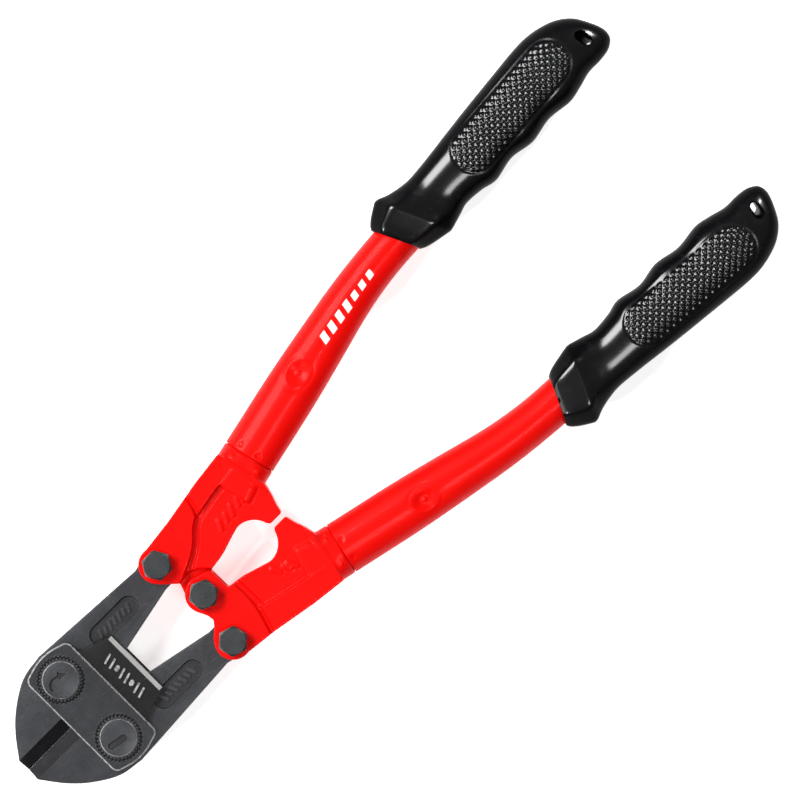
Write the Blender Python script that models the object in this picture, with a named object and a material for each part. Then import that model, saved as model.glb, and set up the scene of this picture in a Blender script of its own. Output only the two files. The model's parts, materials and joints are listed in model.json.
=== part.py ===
"""Bolt cutters: two jaws between two straps, worked by two compound-lever handles.

The tool lies on its back. +Z is up out of its front, +X runs along its axis from the jaws
to the grips, and +Y points to the upper handle. Lengths are metres. Everything is drawn
about the point midway between the two adjusting bolts, at mid-thickness. The last step
moves the whole tool so that its origin is the bottom centre of its box.

Each lower piece is its upper twin mirrored in y, except the arms: the upper arm has a
single tang at the centre bolt, and the lower arm has the fork that holds it.
"""
import math
from dataclasses import dataclass

import bmesh
import bpy
from mathutils import Vector

# Stack through the thickness
JAW_THICKNESS = 0.0084
STRAP_THICKNESS = 0.0035
EAR_THICKNESS = 0.0035
FACE_GAP = 0.0003
STEP_LEVEL = 0.0064        # half-thickness of the arms' inner panels
GRIP_THICKNESS = 0.0242

# Linkage
BOLT_SPREAD = 0.0279       # between the two adjusting bolts
ECCENTRICITY = 0.0004      # jaw pivot ahead of its adjusting bolt
TAIL_REACH = 0.0514        # jaw pivot to jaw bolt, along the tool
TAIL_SPREAD = 0.0367       # between the two jaw bolts
CENTRE_LEAD = 0.0042       # centre bolt behind the line of the jaw bolts
JAW_SWING = 9.0            # degrees that each jaw opens
HANDLE_SWING = 56.0        # degrees that each handle turns on its jaw
OPEN_PIVOT_PLAY = 0.00175  # how far the tang strays from the centre bolt

# Fasteners
HEX_BOLT_RADIUS = 0.003
HEX_FLATS = 3.1 * HEX_BOLT_RADIUS
HEX_HEAD_HEIGHT = 0.0040
UPPER_BOLT_TURN = 0.0      # degrees that each hex head is turned, on its own half
LOWER_BOLT_TURN = 17.0
CENTRE_BOLT_TURN = 36.0
NUT_HEIGHT = 0.0034
THREAD_STAND_OUT = 0.0004
RING_WALL = 0.0005
RING_HEIGHT = 0.0010
NUT_WALL = 0.0004
ADJUSTER_RADIUS = 0.004
ADJUSTER_FLATS = 0.013
JOURNAL_RADIUS = 0.005
ADJUSTER_HEAD_RADIUS = 0.0065
ADJUSTER_RIM_RADIUS = 0.0077
ADJUSTER_HEAD_RISE = 0.0014
COUNTERBORE_DEPTH = 0.0015
RIM_HEIGHT = 0.0010
CHAMFER = 0.0005

# Jaws
TIP_REACH = 0.030
JAW_BACK_MARGIN = 0.01105  # jaw back past its adjusting bolt
BEVEL_WIDTH = 0.0046
EDGE_GAP = 0.0003
EDGE_LAND = 0.0003
HEEL_LIFT = 0.0009
HEEL_MARGIN = 2.5          # degrees kept between the tails when the jaws are open
TAIL_EYE_RADIUS = 0.0056
TAIL_HEEL_DROP = 0.00245
TAIL_HEEL_RADIUS = 0.0055
PANEL_LENGTH = 0.014
PANEL_RADIUS = 0.0035
PANEL_DEPTH = 0.0005
PANEL_LEAD = 0.0017        # panel behind the middle of the jaw
PANEL_DROP = 0.0029        # panel inside the jaw bolt
JAW_BACK = ((1.0, 1.0), (0.70, 0.922), (0.417, 0.676), (0.20, 0.382), (0.0, 0.0))

# Straps
STRAP_FRONT_REACH = 0.0092
STRAP_BACK_REACH = 0.0109
STRAP_END_MARGIN = 0.01005  # strap end past its adjusting bolt
STRAP_BOW = 0.0014
STRAP_CORNER = 0.003
STRAP_CHAMFER = 0.0006
TONGUE_REACH = 0.0229
TONGUE_THICKNESS = 0.0018
TONGUE_HALF_WIDTH = 0.0129
GROUND_BAR_WIDTH = 0.0019
GROUND_BAR_RISE = 0.0007

# Arms
EAR_RADIUS = 0.0065
TANG_RADIUS = 0.0060
POCKET_GAP = 0.0004
POCKET_RUN_OUT = 0.012     # how far a pocket's cutter runs past the arm
WINDOW_REACH = 0.0244      # centre bolt to the middle of the window
WINDOW_RADIUS = 0.0081
WINDOW_START = 0.0075      # window's end behind the centre bolt
WINDOW_HALF_START = 0.0042
STOP_WIDTH = 0.0050
STOP_GAP = 0.0018
VALLEY_WIDTH = 0.0016
VALLEY_DEPTH = 0.0010
WINDOW_BOW = ((0.0134, 0.0050), (0.0184, 0.0065))       # behind the centre bolt
ARM_BACK = ((0.0290, 0.01065), (0.0130, 0.00785))       # from the jaw bolt
UPPER_WAIST = ((-0.0037, -0.0057), (-0.0015, -0.0077), (0.0009, -0.0100))
LOWER_WAIST = ((-0.0040, -0.0055), (-0.0016, -0.0075), (0.0003, -0.0098), (0.0, -0.0122))
LOWER_CORNER = ((0.0052, -0.0052), (0.0070, -0.0044), (0.0074, -0.0039))
PANEL_RIDGE = ((0.0368, 0.0226), (0.0394, 0.0120), (0.0413, 0.0080), (0.0413, -0.0020))
UPPER_VALLEY = ((0.0008, 0.0080), (0.0088, 0.0130), (0.0168, 0.0195))
UPPER_CREASE = ((0.0168, 0.0195), (0.0186, 0.0235), (0.0196, 0.0300))
LOWER_VALLEY = ((0.0108, 0.0040), (0.0112, 0.0170))
LOWER_CREASE = ((0.0112, 0.0020), (0.0098, 0.0174), (0.0064, 0.0280))

# Handles
SEAM_REACH = 0.0479        # jaw bolt to the seam, along the tool
SEAM_RISE = 0.00385        # seam's middle outside the jaw bolt
HANDLE_SLOPE = 12.5
GRIP_SLOPE = 2.2
BEND_START = 0.057
BEND_RADIUS = 0.200
TUBE_SEAM_WIDTH = 0.0190
TUBE_SEAM_THICKNESS = 0.0156
TUBE_END_DIAMETER = 0.0152
TUBE_WALL = 0.0016
TAPER_START = 0.020
TAPER_END = 0.085
NECK_LENGTH = 0.0045       # oval end of each arm before its tube
NECK_ROOT = 0.012          # how far the neck reaches back into the arm
TENON_LENGTH = 0.036
GRIP_START = 0.0904
TUBE_INSERT = 0.084
GRIP_MOUTH_SLANT = 22.0
GRIP_SQUARENESS = 0.8
GRIP_MOUTH_RUN_OUT = 0.012  # how far the bore's cutter runs past the mouth
GRIP_MOUTH_START = 0.002   # where the bore has the tube's own section
HANGING_HOLE_LENGTH = 0.0052
HANGING_HOLE_WIDTH = 0.0026
HANGING_HOLE_INSET = 0.0072
HANGING_HOLE_DROP = 0.0028

# How finely round things are cut
ROUND = 24
TUBE_SIDES = 20

# Levels and places that follow
SLOT_LEVEL = JAW_THICKNESS / 2 + FACE_GAP
STRAP_LEVEL = SLOT_LEVEL + STRAP_THICKNESS
EAR_LEVEL = SLOT_LEVEL + EAR_THICKNESS
BOLT_END = max(STRAP_LEVEL, EAR_LEVEL) + FACE_GAP + NUT_HEIGHT + THREAD_STAND_OUT
ADJUSTER = Vector((0.0, BOLT_SPREAD / 2, 0.0))
JAW_PIVOT = Vector((-ECCENTRICITY, BOLT_SPREAD / 2, 0.0))
JAW_BOLT = Vector((JAW_PIVOT.x + TAIL_REACH, TAIL_SPREAD / 2, 0.0))
CENTRE_BOLT = Vector((JAW_BOLT.x + CENTRE_LEAD, 0.0, 0.0))
WINDOW = Vector((CENTRE_BOLT.x + WINDOW_REACH, 0.0, 0.0))
SEAM = Vector((JAW_BOLT.x + SEAM_REACH, JAW_BOLT.y + SEAM_RISE))
JAW_HALF_WIDTH = ADJUSTER.y + JAW_BACK_MARGIN
STRAP_HALF_WIDTH = ADJUSTER.y + STRAP_END_MARGIN
BORE = HEX_BOLT_RADIUS + FACE_GAP
FAR = 0.030                # reach of a cutter past what it cuts


@dataclass(frozen=True)
class Finish:
    """A material's colour (linear RGB), roughness and metallic value."""

    name: str
    colour: tuple
    roughness: float
    metallic: float


BLACK_OXIDE = Finish("black_oxide", (0.060, 0.061, 0.066), 0.42, 0.6)
STRAP_STEEL = Finish("strap_steel", (0.050, 0.051, 0.054), 0.45, 0.6)
BOLT_STEEL = Finish("bolt_steel", (0.062, 0.080, 0.070), 0.40, 0.7)
NYLON = Finish("nylon", (0.55, 0.56, 0.52), 0.45, 0.0)
RED_PAINT = Finish("red_paint", (0.90, 0.012, 0.006), 0.25, 0.0)
GRIP_RUBBER = Finish("grip_rubber", (0.009, 0.009, 0.010), 0.45, 0.0)


@dataclass(frozen=True)
class Body:
    """A rigid body: the empty that its pieces hang on, and where that empty is."""

    empty: bpy.types.Object
    pivot: Vector


# ---------------------------------------------------------------- outlines


def turned_to(centre, radius, degrees):
    """The point at an angle round a centre."""
    angle = math.radians(degrees)
    return (centre[0] + radius * math.cos(angle), centre[1] + radius * math.sin(angle))


def arc(centre, radius, start, end, steps):
    """Points round a circle from start to end degrees, both ends included."""
    return [turned_to(centre, radius, start + (end - start) * i / steps) for i in range(steps + 1)]


def circle(centre, radius, sides=ROUND, phase=0.0):
    """A closed ring of points."""
    return [turned_to(centre, radius, 360 * i / sides + phase) for i in range(sides)]


def hexagon(centre, flats, phase=0.0):
    """A hexagon with as many points as a circle, so that the two can be skinned together."""
    points = []
    for i in range(ROUND):
        degrees = 360 * i / ROUND
        reach = flats / 2 / math.cos(math.radians(degrees % 60 - 30))
        points.append(turned_to(centre, reach, degrees + phase))
    return points


def slot(centre, radius, length, degrees=0.0):
    """A round-ended slot, length between its end centres, turned about its middle."""
    ends = [turned_to(centre, length / 2, degrees + 180 * i) for i in range(2)]
    return arc(ends[0], radius, degrees - 90, degrees + 90, 8) + arc(
        ends[1], radius, degrees + 90, degrees + 270, 8
    )


def curve_through(points, steps):
    """A smooth run through the points, with steps pieces to each span."""
    vectors = [Vector(point) for point in points]
    ends = [vectors[0] * 2 - vectors[1]] + vectors + [vectors[-1] * 2 - vectors[-2]]
    run = []
    for before, start, end, after in zip(ends, ends[1:], ends[2:], ends[3:]):
        for i in range(steps):
            t = i / steps
            run.append(
                0.5
                * (
                    2 * start
                    + (end - before) * t
                    + (2 * before - 5 * start + 4 * end - after) * t**2
                    + (3 * start - before - 3 * end + after) * t**3
                )
            )
    run.append(vectors[-1])
    return [tuple(point) for point in run]


def from_bolt(bolt, x, y):
    """A point given by its distance from a bolt."""
    return (bolt.x + x, bolt.y + y)


# ---------------------------------------------------------------- solids


def skin(rings, hollow=False):
    """Join a row of equal rings into one closed solid; a hollow row closes on itself."""
    solid = bmesh.new()
    rows = [[solid.verts.new(point) for point in ring] for ring in rings]
    following = rows[1:] + (rows[:1] if hollow else [])
    for low, high in zip(rows, following):
        for i, corner in enumerate(low):
            j = (i + 1) % len(low)
            solid.faces.new((corner, low[j], high[j], high[i]))
    if not hollow:
        solid.faces.new(rows[0][::-1])
        solid.faces.new(rows[-1])
    bmesh.ops.recalc_face_normals(solid, faces=solid.faces)
    return solid


def at_level(outline, z):
    """An outline lifted to a level."""
    return [(x, y, z) for x, y in outline]


def prism(outline, low, high):
    """A straight-walled solid between two levels."""
    return skin([at_level(outline, low), at_level(outline, high)])


def chamfer_rim(solid, z, width):
    """Chamfer the edges of a solid that lie all round its face at one level."""
    rim = [edge for edge in solid.edges if all(abs(v.co.z - z) < 1e-7 for v in edge.verts)]
    bmesh.ops.bevel(solid, geom=rim, offset=width, segments=1, affect="EDGES")


def make_material(finish):
    """The material of a finish, made once."""
    material = bpy.data.materials.get(finish.name)
    if material is None:
        material = bpy.data.materials.new(finish.name)
        material.use_nodes = True
        shader = material.node_tree.nodes["Principled BSDF"]
        shader.inputs["Base Color"].default_value = (*finish.colour, 1.0)
        shader.inputs["Roughness"].default_value = finish.roughness
        shader.inputs["Metallic"].default_value = finish.metallic
    return material


def hinge_body(name, pivot, parent=None):
    """An empty on a joint's axis, which carries one rigid body."""
    empty = bpy.data.objects.new(name, None)
    bpy.context.scene.collection.objects.link(empty)
    empty.empty_display_size = 0.01
    empty.location = pivot
    if parent is not None:
        empty.parent = parent.empty
        empty.location = pivot - parent.pivot
    return Body(empty, pivot)


def add_object(name, solid, body):
    """An object of a solid drawn in the tool's frame, hung on its body's pivot."""
    bmesh.ops.translate(solid, verts=solid.verts, vec=-body.pivot)
    mesh = bpy.data.meshes.new(name)
    solid.to_mesh(mesh)
    solid.free()
    thing = bpy.data.objects.new(name, mesh)
    bpy.context.scene.collection.objects.link(thing)
    thing.parent = body.empty
    return thing


def add_piece(name, solid, finish, body, side=1):
    """A finished piece; on side -1 it is mirrored to the lower half of the tool."""
    if side < 0:
        mirror(solid)
    piece = add_object(name, solid, body)
    piece.data.shade_smooth()
    piece.data.set_sharp_from_angle(angle=math.radians(35))
    piece.data.materials.append(make_material(finish))
    return piece


def mirror(solid):
    """Mirror a solid in y and turn its faces the right way out."""
    bmesh.ops.scale(solid, verts=solid.verts, vec=(1, -1, 1))
    bmesh.ops.reverse_faces(solid, faces=solid.faces)


def combine(piece, solid, body, operation="DIFFERENCE", side=1):
    """Cut a solid out of a piece, or join it on, with a Boolean modifier."""
    if side < 0:
        mirror(solid)
    tool = add_object(f"{piece.name}_tool_{len(piece.modifiers)}", solid, body)
    tool.hide_render = True
    tool.display_type = "WIRE"
    modifier = piece.modifiers.new(tool.name, "BOOLEAN")
    modifier.operation = operation
    modifier.solver = "EXACT"
    modifier.object = tool


# ---------------------------------------------------------------- jaws


def jaw_outline():
    """The upper jaw seen from the front: edge, inner side, tail, then the back."""
    edge = EDGE_GAP / 2
    slope = math.tan(math.radians(JAW_SWING + HEEL_MARGIN))
    heel = from_bolt(JAW_BOLT, -0.0005, -TAIL_HEEL_DROP)
    heel_bottom = heel[1] - TAIL_HEEL_RADIUS
    inner = [(-TIP_REACH, edge), (-0.004, edge), (0.0, HEEL_LIFT)]
    inner.append(((heel_bottom - HEEL_LIFT) / slope, heel_bottom))
    tail = arc(heel, TAIL_HEEL_RADIUS, -90, 0, 6) + arc(JAW_BOLT, TAIL_EYE_RADIUS, 0, 105, 7)
    neck = [from_bolt(JAW_BOLT, -0.0068, 0.0040)]
    rise = JAW_HALF_WIDTH - BEVEL_WIDTH
    back = [(-TIP_REACH * (1 - along), BEVEL_WIDTH + rise * up) for along, up in JAW_BACK]
    return inner + tail + neck + curve_through(back, 4)


def edge_wedge(front):
    """What grinding takes off one face of a jaw to bring it down to the cutting edge."""
    face = JAW_THICKNESS / 2
    edge = Vector((EDGE_GAP / 2, EDGE_LAND))
    slope = Vector((BEVEL_WIDTH, face - EDGE_LAND))
    low = edge - slope * 0.2
    high = edge + slope * 1.2
    section = [low, high, Vector((low.x, high.y))]
    stretch = (-TIP_REACH - 0.001, -STRAP_FRONT_REACH + 0.001)
    return skin([[(x, y, z * front) for y, z in section] for x in stretch])


def make_jaw(side, name, body):
    """A jaw, with its journal bore, jaw-bolt hole, ground bevels and sunk panels."""
    half = JAW_THICKNESS / 2
    jaw = add_piece(name, prism(jaw_outline(), -half, half), BLACK_OXIDE, body, side)
    bores = ((JAW_PIVOT, JOURNAL_RADIUS), (JAW_BOLT, HEX_BOLT_RADIUS))
    for centre, radius in bores:
        bore = prism(circle(centre, radius + FACE_GAP), -FAR, FAR)
        combine(jaw, bore, body, side=side)
    middle = ((JAW_PIVOT.x + JAW_BOLT.x) / 2 + PANEL_LEAD, JAW_BOLT.y - PANEL_DROP)
    for front in (1, -1):
        combine(jaw, edge_wedge(front), body, side=side)
        floor = sorted((front * (half - PANEL_DEPTH), front * FAR))
        combine(jaw, prism(slot(middle, PANEL_RADIUS, PANEL_LENGTH), *floor), body, side=side)


# ---------------------------------------------------------------- straps


def strap_outline():
    """The strap's plate: bowed ends and rounded corners."""
    middle = (STRAP_BACK_REACH - STRAP_FRONT_REACH) / 2
    half_length = (STRAP_BACK_REACH + STRAP_FRONT_REACH) / 2
    flat = half_length - STRAP_CORNER
    shoulder = STRAP_HALF_WIDTH - STRAP_BOW - STRAP_CORNER
    right = arc((middle + flat, shoulder), STRAP_CORNER, 0, 60, 4)
    top = [(middle + flat * t, STRAP_HALF_WIDTH - STRAP_BOW * t * t) for t in (0.6, 0.3, 0)]
    upper_right = right + top
    upper = upper_right + [(2 * middle - x, y) for x, y in upper_right[-2::-1]]
    return upper + [(x, -y) for x, y in upper[::-1]]


def tongue_outline():
    """The tongue that the strap steps down to, waisted towards its ground end bar."""
    root = STRAP_BACK_REACH - 0.001
    side = [(root, 0.0172), (STRAP_BACK_REACH + 0.003, 0.0153), (0.0185, 0.0140)]
    side.append((TONGUE_REACH - 0.0012, TONGUE_HALF_WIDTH))
    side.append((TONGUE_REACH, TONGUE_HALF_WIDTH - 0.0004))
    return [(x, -y) for x, y in side] + side[::-1]


def ground_bar():
    """The raised bar along the tongue's end."""
    half = TONGUE_HALF_WIDTH - 0.0004
    low = TONGUE_REACH - GROUND_BAR_WIDTH
    return [(low, -half), (TONGUE_REACH, -half), (TONGUE_REACH, half), (low, half)]


def make_strap(front, name, body):
    """A strap: front is 1 for the front one and -1 for the back one."""

    def between(low, high):
        return sorted((low * front, high * front))

    plate = prism(strap_outline(), *between(SLOT_LEVEL, STRAP_LEVEL))
    chamfer_rim(plate, STRAP_LEVEL * front, STRAP_CHAMFER)
    strap = add_piece(name, plate, STRAP_STEEL, body)
    tongue_level = SLOT_LEVEL + TONGUE_THICKNESS
    tongue = prism(tongue_outline(), *between(SLOT_LEVEL, tongue_level))
    combine(strap, tongue, body, "UNION")
    bar = prism(ground_bar(), *between(SLOT_LEVEL + 0.0005, tongue_level + GROUND_BAR_RISE))
    combine(strap, bar, body, "UNION")
    for side in (1, -1):
        hole = prism(circle(ADJUSTER, ADJUSTER_RADIUS + FACE_GAP), *between(0, FAR))
        combine(strap, hole, body, side=side)
        if front > 0:
            sink = circle(ADJUSTER, ADJUSTER_RIM_RADIUS + FACE_GAP)
            counterbore = prism(sink, STRAP_LEVEL - COUNTERBORE_DEPTH, FAR)
            combine(strap, counterbore, body, side=side)


# ---------------------------------------------------------------- fasteners


def make_adjusting_bolt(side, name, body):
    """A bolt whose journal is eccentric to its head, to take up wear in the jaw."""
    floor = STRAP_LEVEL - COUNTERBORE_DEPTH + FACE_GAP
    top = STRAP_LEVEL + ADJUSTER_HEAD_RISE
    half = JAW_THICKNESS / 2
    levels = (
        (ADJUSTER, ADJUSTER_RADIUS - CHAMFER, -BOLT_END),
        (ADJUSTER, ADJUSTER_RADIUS, -BOLT_END + CHAMFER),
        (ADJUSTER, ADJUSTER_RADIUS, -half),
        (JAW_PIVOT, JOURNAL_RADIUS, -half),
        (JAW_PIVOT, JOURNAL_RADIUS, half),
        (ADJUSTER, ADJUSTER_RADIUS, half),
        (ADJUSTER, ADJUSTER_RADIUS, floor),
        (ADJUSTER, ADJUSTER_RIM_RADIUS, floor),
        (ADJUSTER, ADJUSTER_RIM_RADIUS, floor + RIM_HEIGHT),
        (ADJUSTER, ADJUSTER_HEAD_RADIUS, floor + RIM_HEIGHT),
        (ADJUSTER, ADJUSTER_HEAD_RADIUS, top - CHAMFER),
        (ADJUSTER, ADJUSTER_HEAD_RADIUS - CHAMFER, top),
    )
    rings = [at_level(circle(centre, radius), z) for centre, radius, z in levels]
    add_piece(name, skin(rings), BOLT_STEEL, body, side)


def make_adjusting_nut(side, name, body):
    """A plain hex nut that bears on the back strap."""
    top = -STRAP_LEVEL - FACE_GAP
    bottom = top - NUT_HEIGHT
    hexagonal = hexagon(ADJUSTER, ADJUSTER_FLATS)
    bore = circle(ADJUSTER, ADJUSTER_RADIUS + FACE_GAP)
    rings = [
        at_level(hexagonal, top),
        at_level(hexagonal, bottom + CHAMFER),
        at_level(circle(ADJUSTER, ADJUSTER_FLATS / 2), bottom),
        at_level(bore, bottom),
        at_level(bore, top),
    ]
    add_piece(name, skin(rings, hollow=True), BOLT_STEEL, body, side)


def make_hex_bolt(centre, phase, side, name, body):
    """A hex bolt from over the front ear to past its nut."""
    under = EAR_LEVEL + FACE_GAP
    top = under + HEX_HEAD_HEIGHT
    hexagonal = hexagon(centre, HEX_FLATS, phase)
    shank = circle(centre, HEX_BOLT_RADIUS, phase=phase)
    rings = [
        at_level(circle(centre, HEX_BOLT_RADIUS - CHAMFER, phase=phase), -BOLT_END),
        at_level(shank, -BOLT_END + CHAMFER),
        at_level(shank, under),
        at_level(hexagonal, under),
        at_level(hexagonal, top - CHAMFER),
        at_level(circle(centre, HEX_FLATS / 2 - CHAMFER / 2, phase=phase), top),
    ]
    add_piece(name, skin(rings), BOLT_STEEL, body, side)


def make_lock_nut(centre, side, name, body):
    """A hex nut with a round collar that houses a nylon ring."""
    top = -EAR_LEVEL - FACE_GAP
    bottom = top - NUT_HEIGHT
    shoulder = bottom + RING_HEIGHT + FACE_GAP
    housing = BORE + RING_WALL + FACE_GAP
    rings = [
        at_level(hexagon(centre, HEX_FLATS), top),
        at_level(hexagon(centre, HEX_FLATS), shoulder),
        at_level(circle(centre, housing + NUT_WALL), shoulder),
        at_level(circle(centre, housing + NUT_WALL), bottom),
        at_level(circle(centre, housing), bottom),
        at_level(circle(centre, housing), shoulder),
        at_level(circle(centre, BORE), shoulder),
        at_level(circle(centre, BORE), top),
    ]
    add_piece(name, skin(rings, hollow=True), BOLT_STEEL, body, side)


def make_lock_ring(centre, side, name, body):
    """The nylon ring in a lock nut's collar."""
    bottom = -EAR_LEVEL - FACE_GAP - NUT_HEIGHT
    outer = BORE + RING_WALL
    corners = ((outer, 0), (outer, RING_HEIGHT), (BORE, RING_HEIGHT), (BORE, 0))
    rings = [at_level(circle(centre, radius), bottom + z) for radius, z in corners]
    add_piece(name, skin(rings, hollow=True), NYLON, body, side)


# ---------------------------------------------------------------- handle path


def along_handle(s):
    """The point and the heading, in degrees, at distance s from the arm's seam."""
    point = SEAM.copy()
    straight = min(s, BEND_START)
    point += straight * heading_vector(HANDLE_SLOPE)
    turn = math.radians(HANDLE_SLOPE - GRIP_SLOPE)
    bent = min(max(s - BEND_START, 0.0), BEND_RADIUS * turn)
    now = HANDLE_SLOPE - math.degrees(bent / BEND_RADIUS)
    chord = 2 * BEND_RADIUS * math.sin(bent / BEND_RADIUS / 2)
    point += chord * heading_vector((HANDLE_SLOPE + now) / 2)
    point += max(s - BEND_START - BEND_RADIUS * turn, 0.0) * heading_vector(GRIP_SLOPE)
    return point, now


def heading_vector(degrees):
    """The unit vector of a heading."""
    return Vector((math.cos(math.radians(degrees)), math.sin(math.radians(degrees))))


def handle_ring(s, outer, inner, half_thickness, slant=0.0, squareness=1.0):
    """A closed ring round the handle's path.

    outer and inner are its reaches away from the path, and slant leans its outer side
    towards the jaws. Squareness below 1 fills out the ring's corners.
    """
    point, now = along_handle(s)
    ahead = heading_vector(now)
    across = Vector((-ahead.y, ahead.x))
    ring = []
    for i in range(TUBE_SIDES):
        angle = 2 * math.pi * i / TUBE_SIDES
        wide = math.copysign(abs(math.cos(angle)) ** squareness, math.cos(angle))
        deep = math.copysign(abs(math.sin(angle)) ** squareness, math.sin(angle))
        reach = (outer - inner) / 2 + wide * (outer + inner) / 2
        place = point + across * reach - ahead * reach * math.tan(math.radians(slant))
        ring.append((place.x, place.y, deep * half_thickness))
    return ring


def tube_ring(s, inset=0.0):
    """The tube's section at s, or the section inset from it."""
    share = min(max((s - TAPER_START) / (TAPER_END - TAPER_START), 0.0), 1.0)
    share = share * share * (3 - 2 * share)
    width = TUBE_SEAM_WIDTH + (TUBE_END_DIAMETER - TUBE_SEAM_WIDTH) * share
    depth = TUBE_SEAM_THICKNESS + (TUBE_END_DIAMETER - TUBE_SEAM_THICKNESS) * share
    half = width / 2 - inset
    return handle_ring(s, half, half, depth / 2 - inset)


# ---------------------------------------------------------------- arms


def arm_edges():
    """The stretch that both arms share: window, stop nose, throat, neck and outer edge."""
    bow = ((WINDOW_START, WINDOW_HALF_START), *WINDOW_BOW)
    window = [from_bolt(CENTRE_BOLT, x, y) for x, y in bow]
    window += arc(WINDOW, WINDOW_RADIUS, 90, 15, 8)
    nose = WINDOW.x + WINDOW_RADIUS + 0.0006
    stop = STOP_GAP / 2
    toe = [(nose, stop), (nose + STOP_WIDTH, stop), (nose + STOP_WIDTH + 0.0005, stop + 0.0006)]
    low, high = neck_end()
    heel = nose + STOP_WIDTH
    throat = [toe[-1], (heel + 0.0012, 0.0046), (heel + 0.0024, 0.0080), low]
    outer = [from_bolt(JAW_BOLT, x, y) for x, y in ARM_BACK]
    return window + toe[:2] + curve_through(throat, 3) + [high] + outer


def neck_end():
    """The two corners where an arm's flat body gives way to its oval neck."""
    point, now = along_handle(-NECK_LENGTH)
    across = heading_vector(now + 90) * TUBE_SEAM_WIDTH / 2
    return tuple(point - across), tuple(point + across)


def upper_arm_outline():
    """The upper arm from the front, down to the eye of its tang."""
    ear = arc(JAW_BOLT, EAR_RADIUS, 80, 215, 10)
    ear += [from_bolt(JAW_BOLT, x, y) for x, y in UPPER_WAIST]
    return arm_edges() + ear + arc(CENTRE_BOLT, TANG_RADIUS, 165, 350, 14)


def lower_arm_outline():
    """The lower arm before it is mirrored: one plate over the jaw bolt and the centre bolt."""
    ear = arc(JAW_BOLT, EAR_RADIUS, 80, 215, 10)
    ear += [from_bolt(JAW_BOLT, x, y) for x, y in LOWER_WAIST]
    ear += arc(CENTRE_BOLT, EAR_RADIUS, 150, 280, 11)
    return arm_edges() + ear + [from_bolt(CENTRE_BOLT, x, y) for x, y in LOWER_CORNER]


def fork_pocket():
    """Room between an arm's ears for its jaw's tail, through the whole swing."""
    reach = TAIL_HEEL_DROP + TAIL_HEEL_RADIUS + POCKET_GAP
    way_out = 180 - HANDLE_SWING
    round_end = arc(JAW_BOLT, reach, -90, way_out - 90, 8)
    exit_corner = turned_to(round_end[-1], POCKET_RUN_OUT, way_out)
    far_side = [from_bolt(JAW_BOLT, -2 * reach, y) for y in (POCKET_RUN_OUT, -reach)]
    return round_end + [exit_corner] + far_side


def tang_slot():
    """Room between the lower arm's ears for the upper arm's tang, before mirroring."""
    reach = TANG_RADIUS + OPEN_PIVOT_PLAY + POCKET_GAP
    round_side = arc(CENTRE_BOLT, reach, 0, 180, 16)
    open_side = ((-reach, -POCKET_RUN_OUT), (1.5 * reach, -POCKET_RUN_OUT), (1.5 * reach, 0.0))
    return round_side + [from_bolt(CENTRE_BOLT, x, y) for x, y in open_side]


def inner_panel(valley):
    """The lower-lying panel between an arm's valley and its long step."""
    ridge = [from_bolt(CENTRE_BOLT, x, y) for x, y in PANEL_RIDGE]
    return valley + ridge + [(valley[0][0], PANEL_RIDGE[-1][1])]


def strip(points, width):
    """A band of a width along a run of points."""
    left = []
    right = []
    for i, point in enumerate(points):
        before = Vector(points[max(i - 1, 0)])
        after = Vector(points[min(i + 1, len(points) - 1)])
        ahead = (after - before).normalized()
        across = Vector((-ahead.y, ahead.x)) * width / 2
        left.append(tuple(Vector(point) + across))
        right.append(tuple(Vector(point) - across))
    return right + left[::-1]


def make_arm(side, name, body):
    """An arm forging: body, ears or tang, pockets, bolt holes, and neck and tenon."""
    upper = side > 0
    outline = upper_arm_outline() if upper else lower_arm_outline()
    arm = add_piece(name, prism(outline, -EAR_LEVEL, EAR_LEVEL), RED_PAINT, body, side)

    def cut(shape, low, high):
        combine(arm, prism(shape, low, high), body, side=side)

    cut(fork_pocket(), -SLOT_LEVEL, SLOT_LEVEL)
    cut(circle(JAW_BOLT, BORE), -FAR, FAR)
    if upper:
        valley, crease = curve_through(UPPER_VALLEY, 3), UPPER_CREASE
        cut(circle(CENTRE_BOLT, BORE + OPEN_PIVOT_PLAY), -FAR, FAR)
    else:
        valley, crease = LOWER_VALLEY, LOWER_CREASE
        cut(tang_slot(), -SLOT_LEVEL, SLOT_LEVEL)
        cut(circle(CENTRE_BOLT, BORE), -FAR, FAR)
    valley = [from_bolt(CENTRE_BOLT, x, y) for x, y in valley]
    groove = strip([from_bolt(CENTRE_BOLT, x, y) for x, y in crease], VALLEY_WIDTH)
    for front in (1, -1):
        if upper:
            ears = circle(CENTRE_BOLT, EAR_RADIUS + OPEN_PIVOT_PLAY + POCKET_GAP * 2)
            cut(ears, *sorted((front * JAW_THICKNESS / 2, front * FAR)))
        cut(inner_panel(valley), *sorted((front * STEP_LEVEL, front * FAR)))
        cut(groove, *sorted((front * (EAR_LEVEL - VALLEY_DEPTH), front * FAR)))
    play = TUBE_WALL + FACE_GAP
    neck = [tube_ring(s) for s in (-NECK_ROOT, 0.0)]
    tenon = [tube_ring(s, play) for s in (0.0, TENON_LENGTH)]
    combine(arm, skin(neck + tenon), body, "UNION", side)


# ---------------------------------------------------------------- handles


def make_tube(side, name, body):
    """A tube, oval at the arm and round in the grip, open at both ends."""
    end = GRIP_START + TUBE_INSERT
    bend_end = BEND_START + BEND_RADIUS * math.radians(HANDLE_SLOPE - GRIP_SLOPE)
    stations = [FACE_GAP, TAPER_START, 0.038, BEND_START, 0.070, TAPER_END, bend_end, end]
    outside = [tube_ring(s) for s in stations]
    inside = [tube_ring(s, TUBE_WALL) for s in stations[::-1]]
    add_piece(name, skin(outside + inside, hollow=True), RED_PAINT, body, side)


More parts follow.
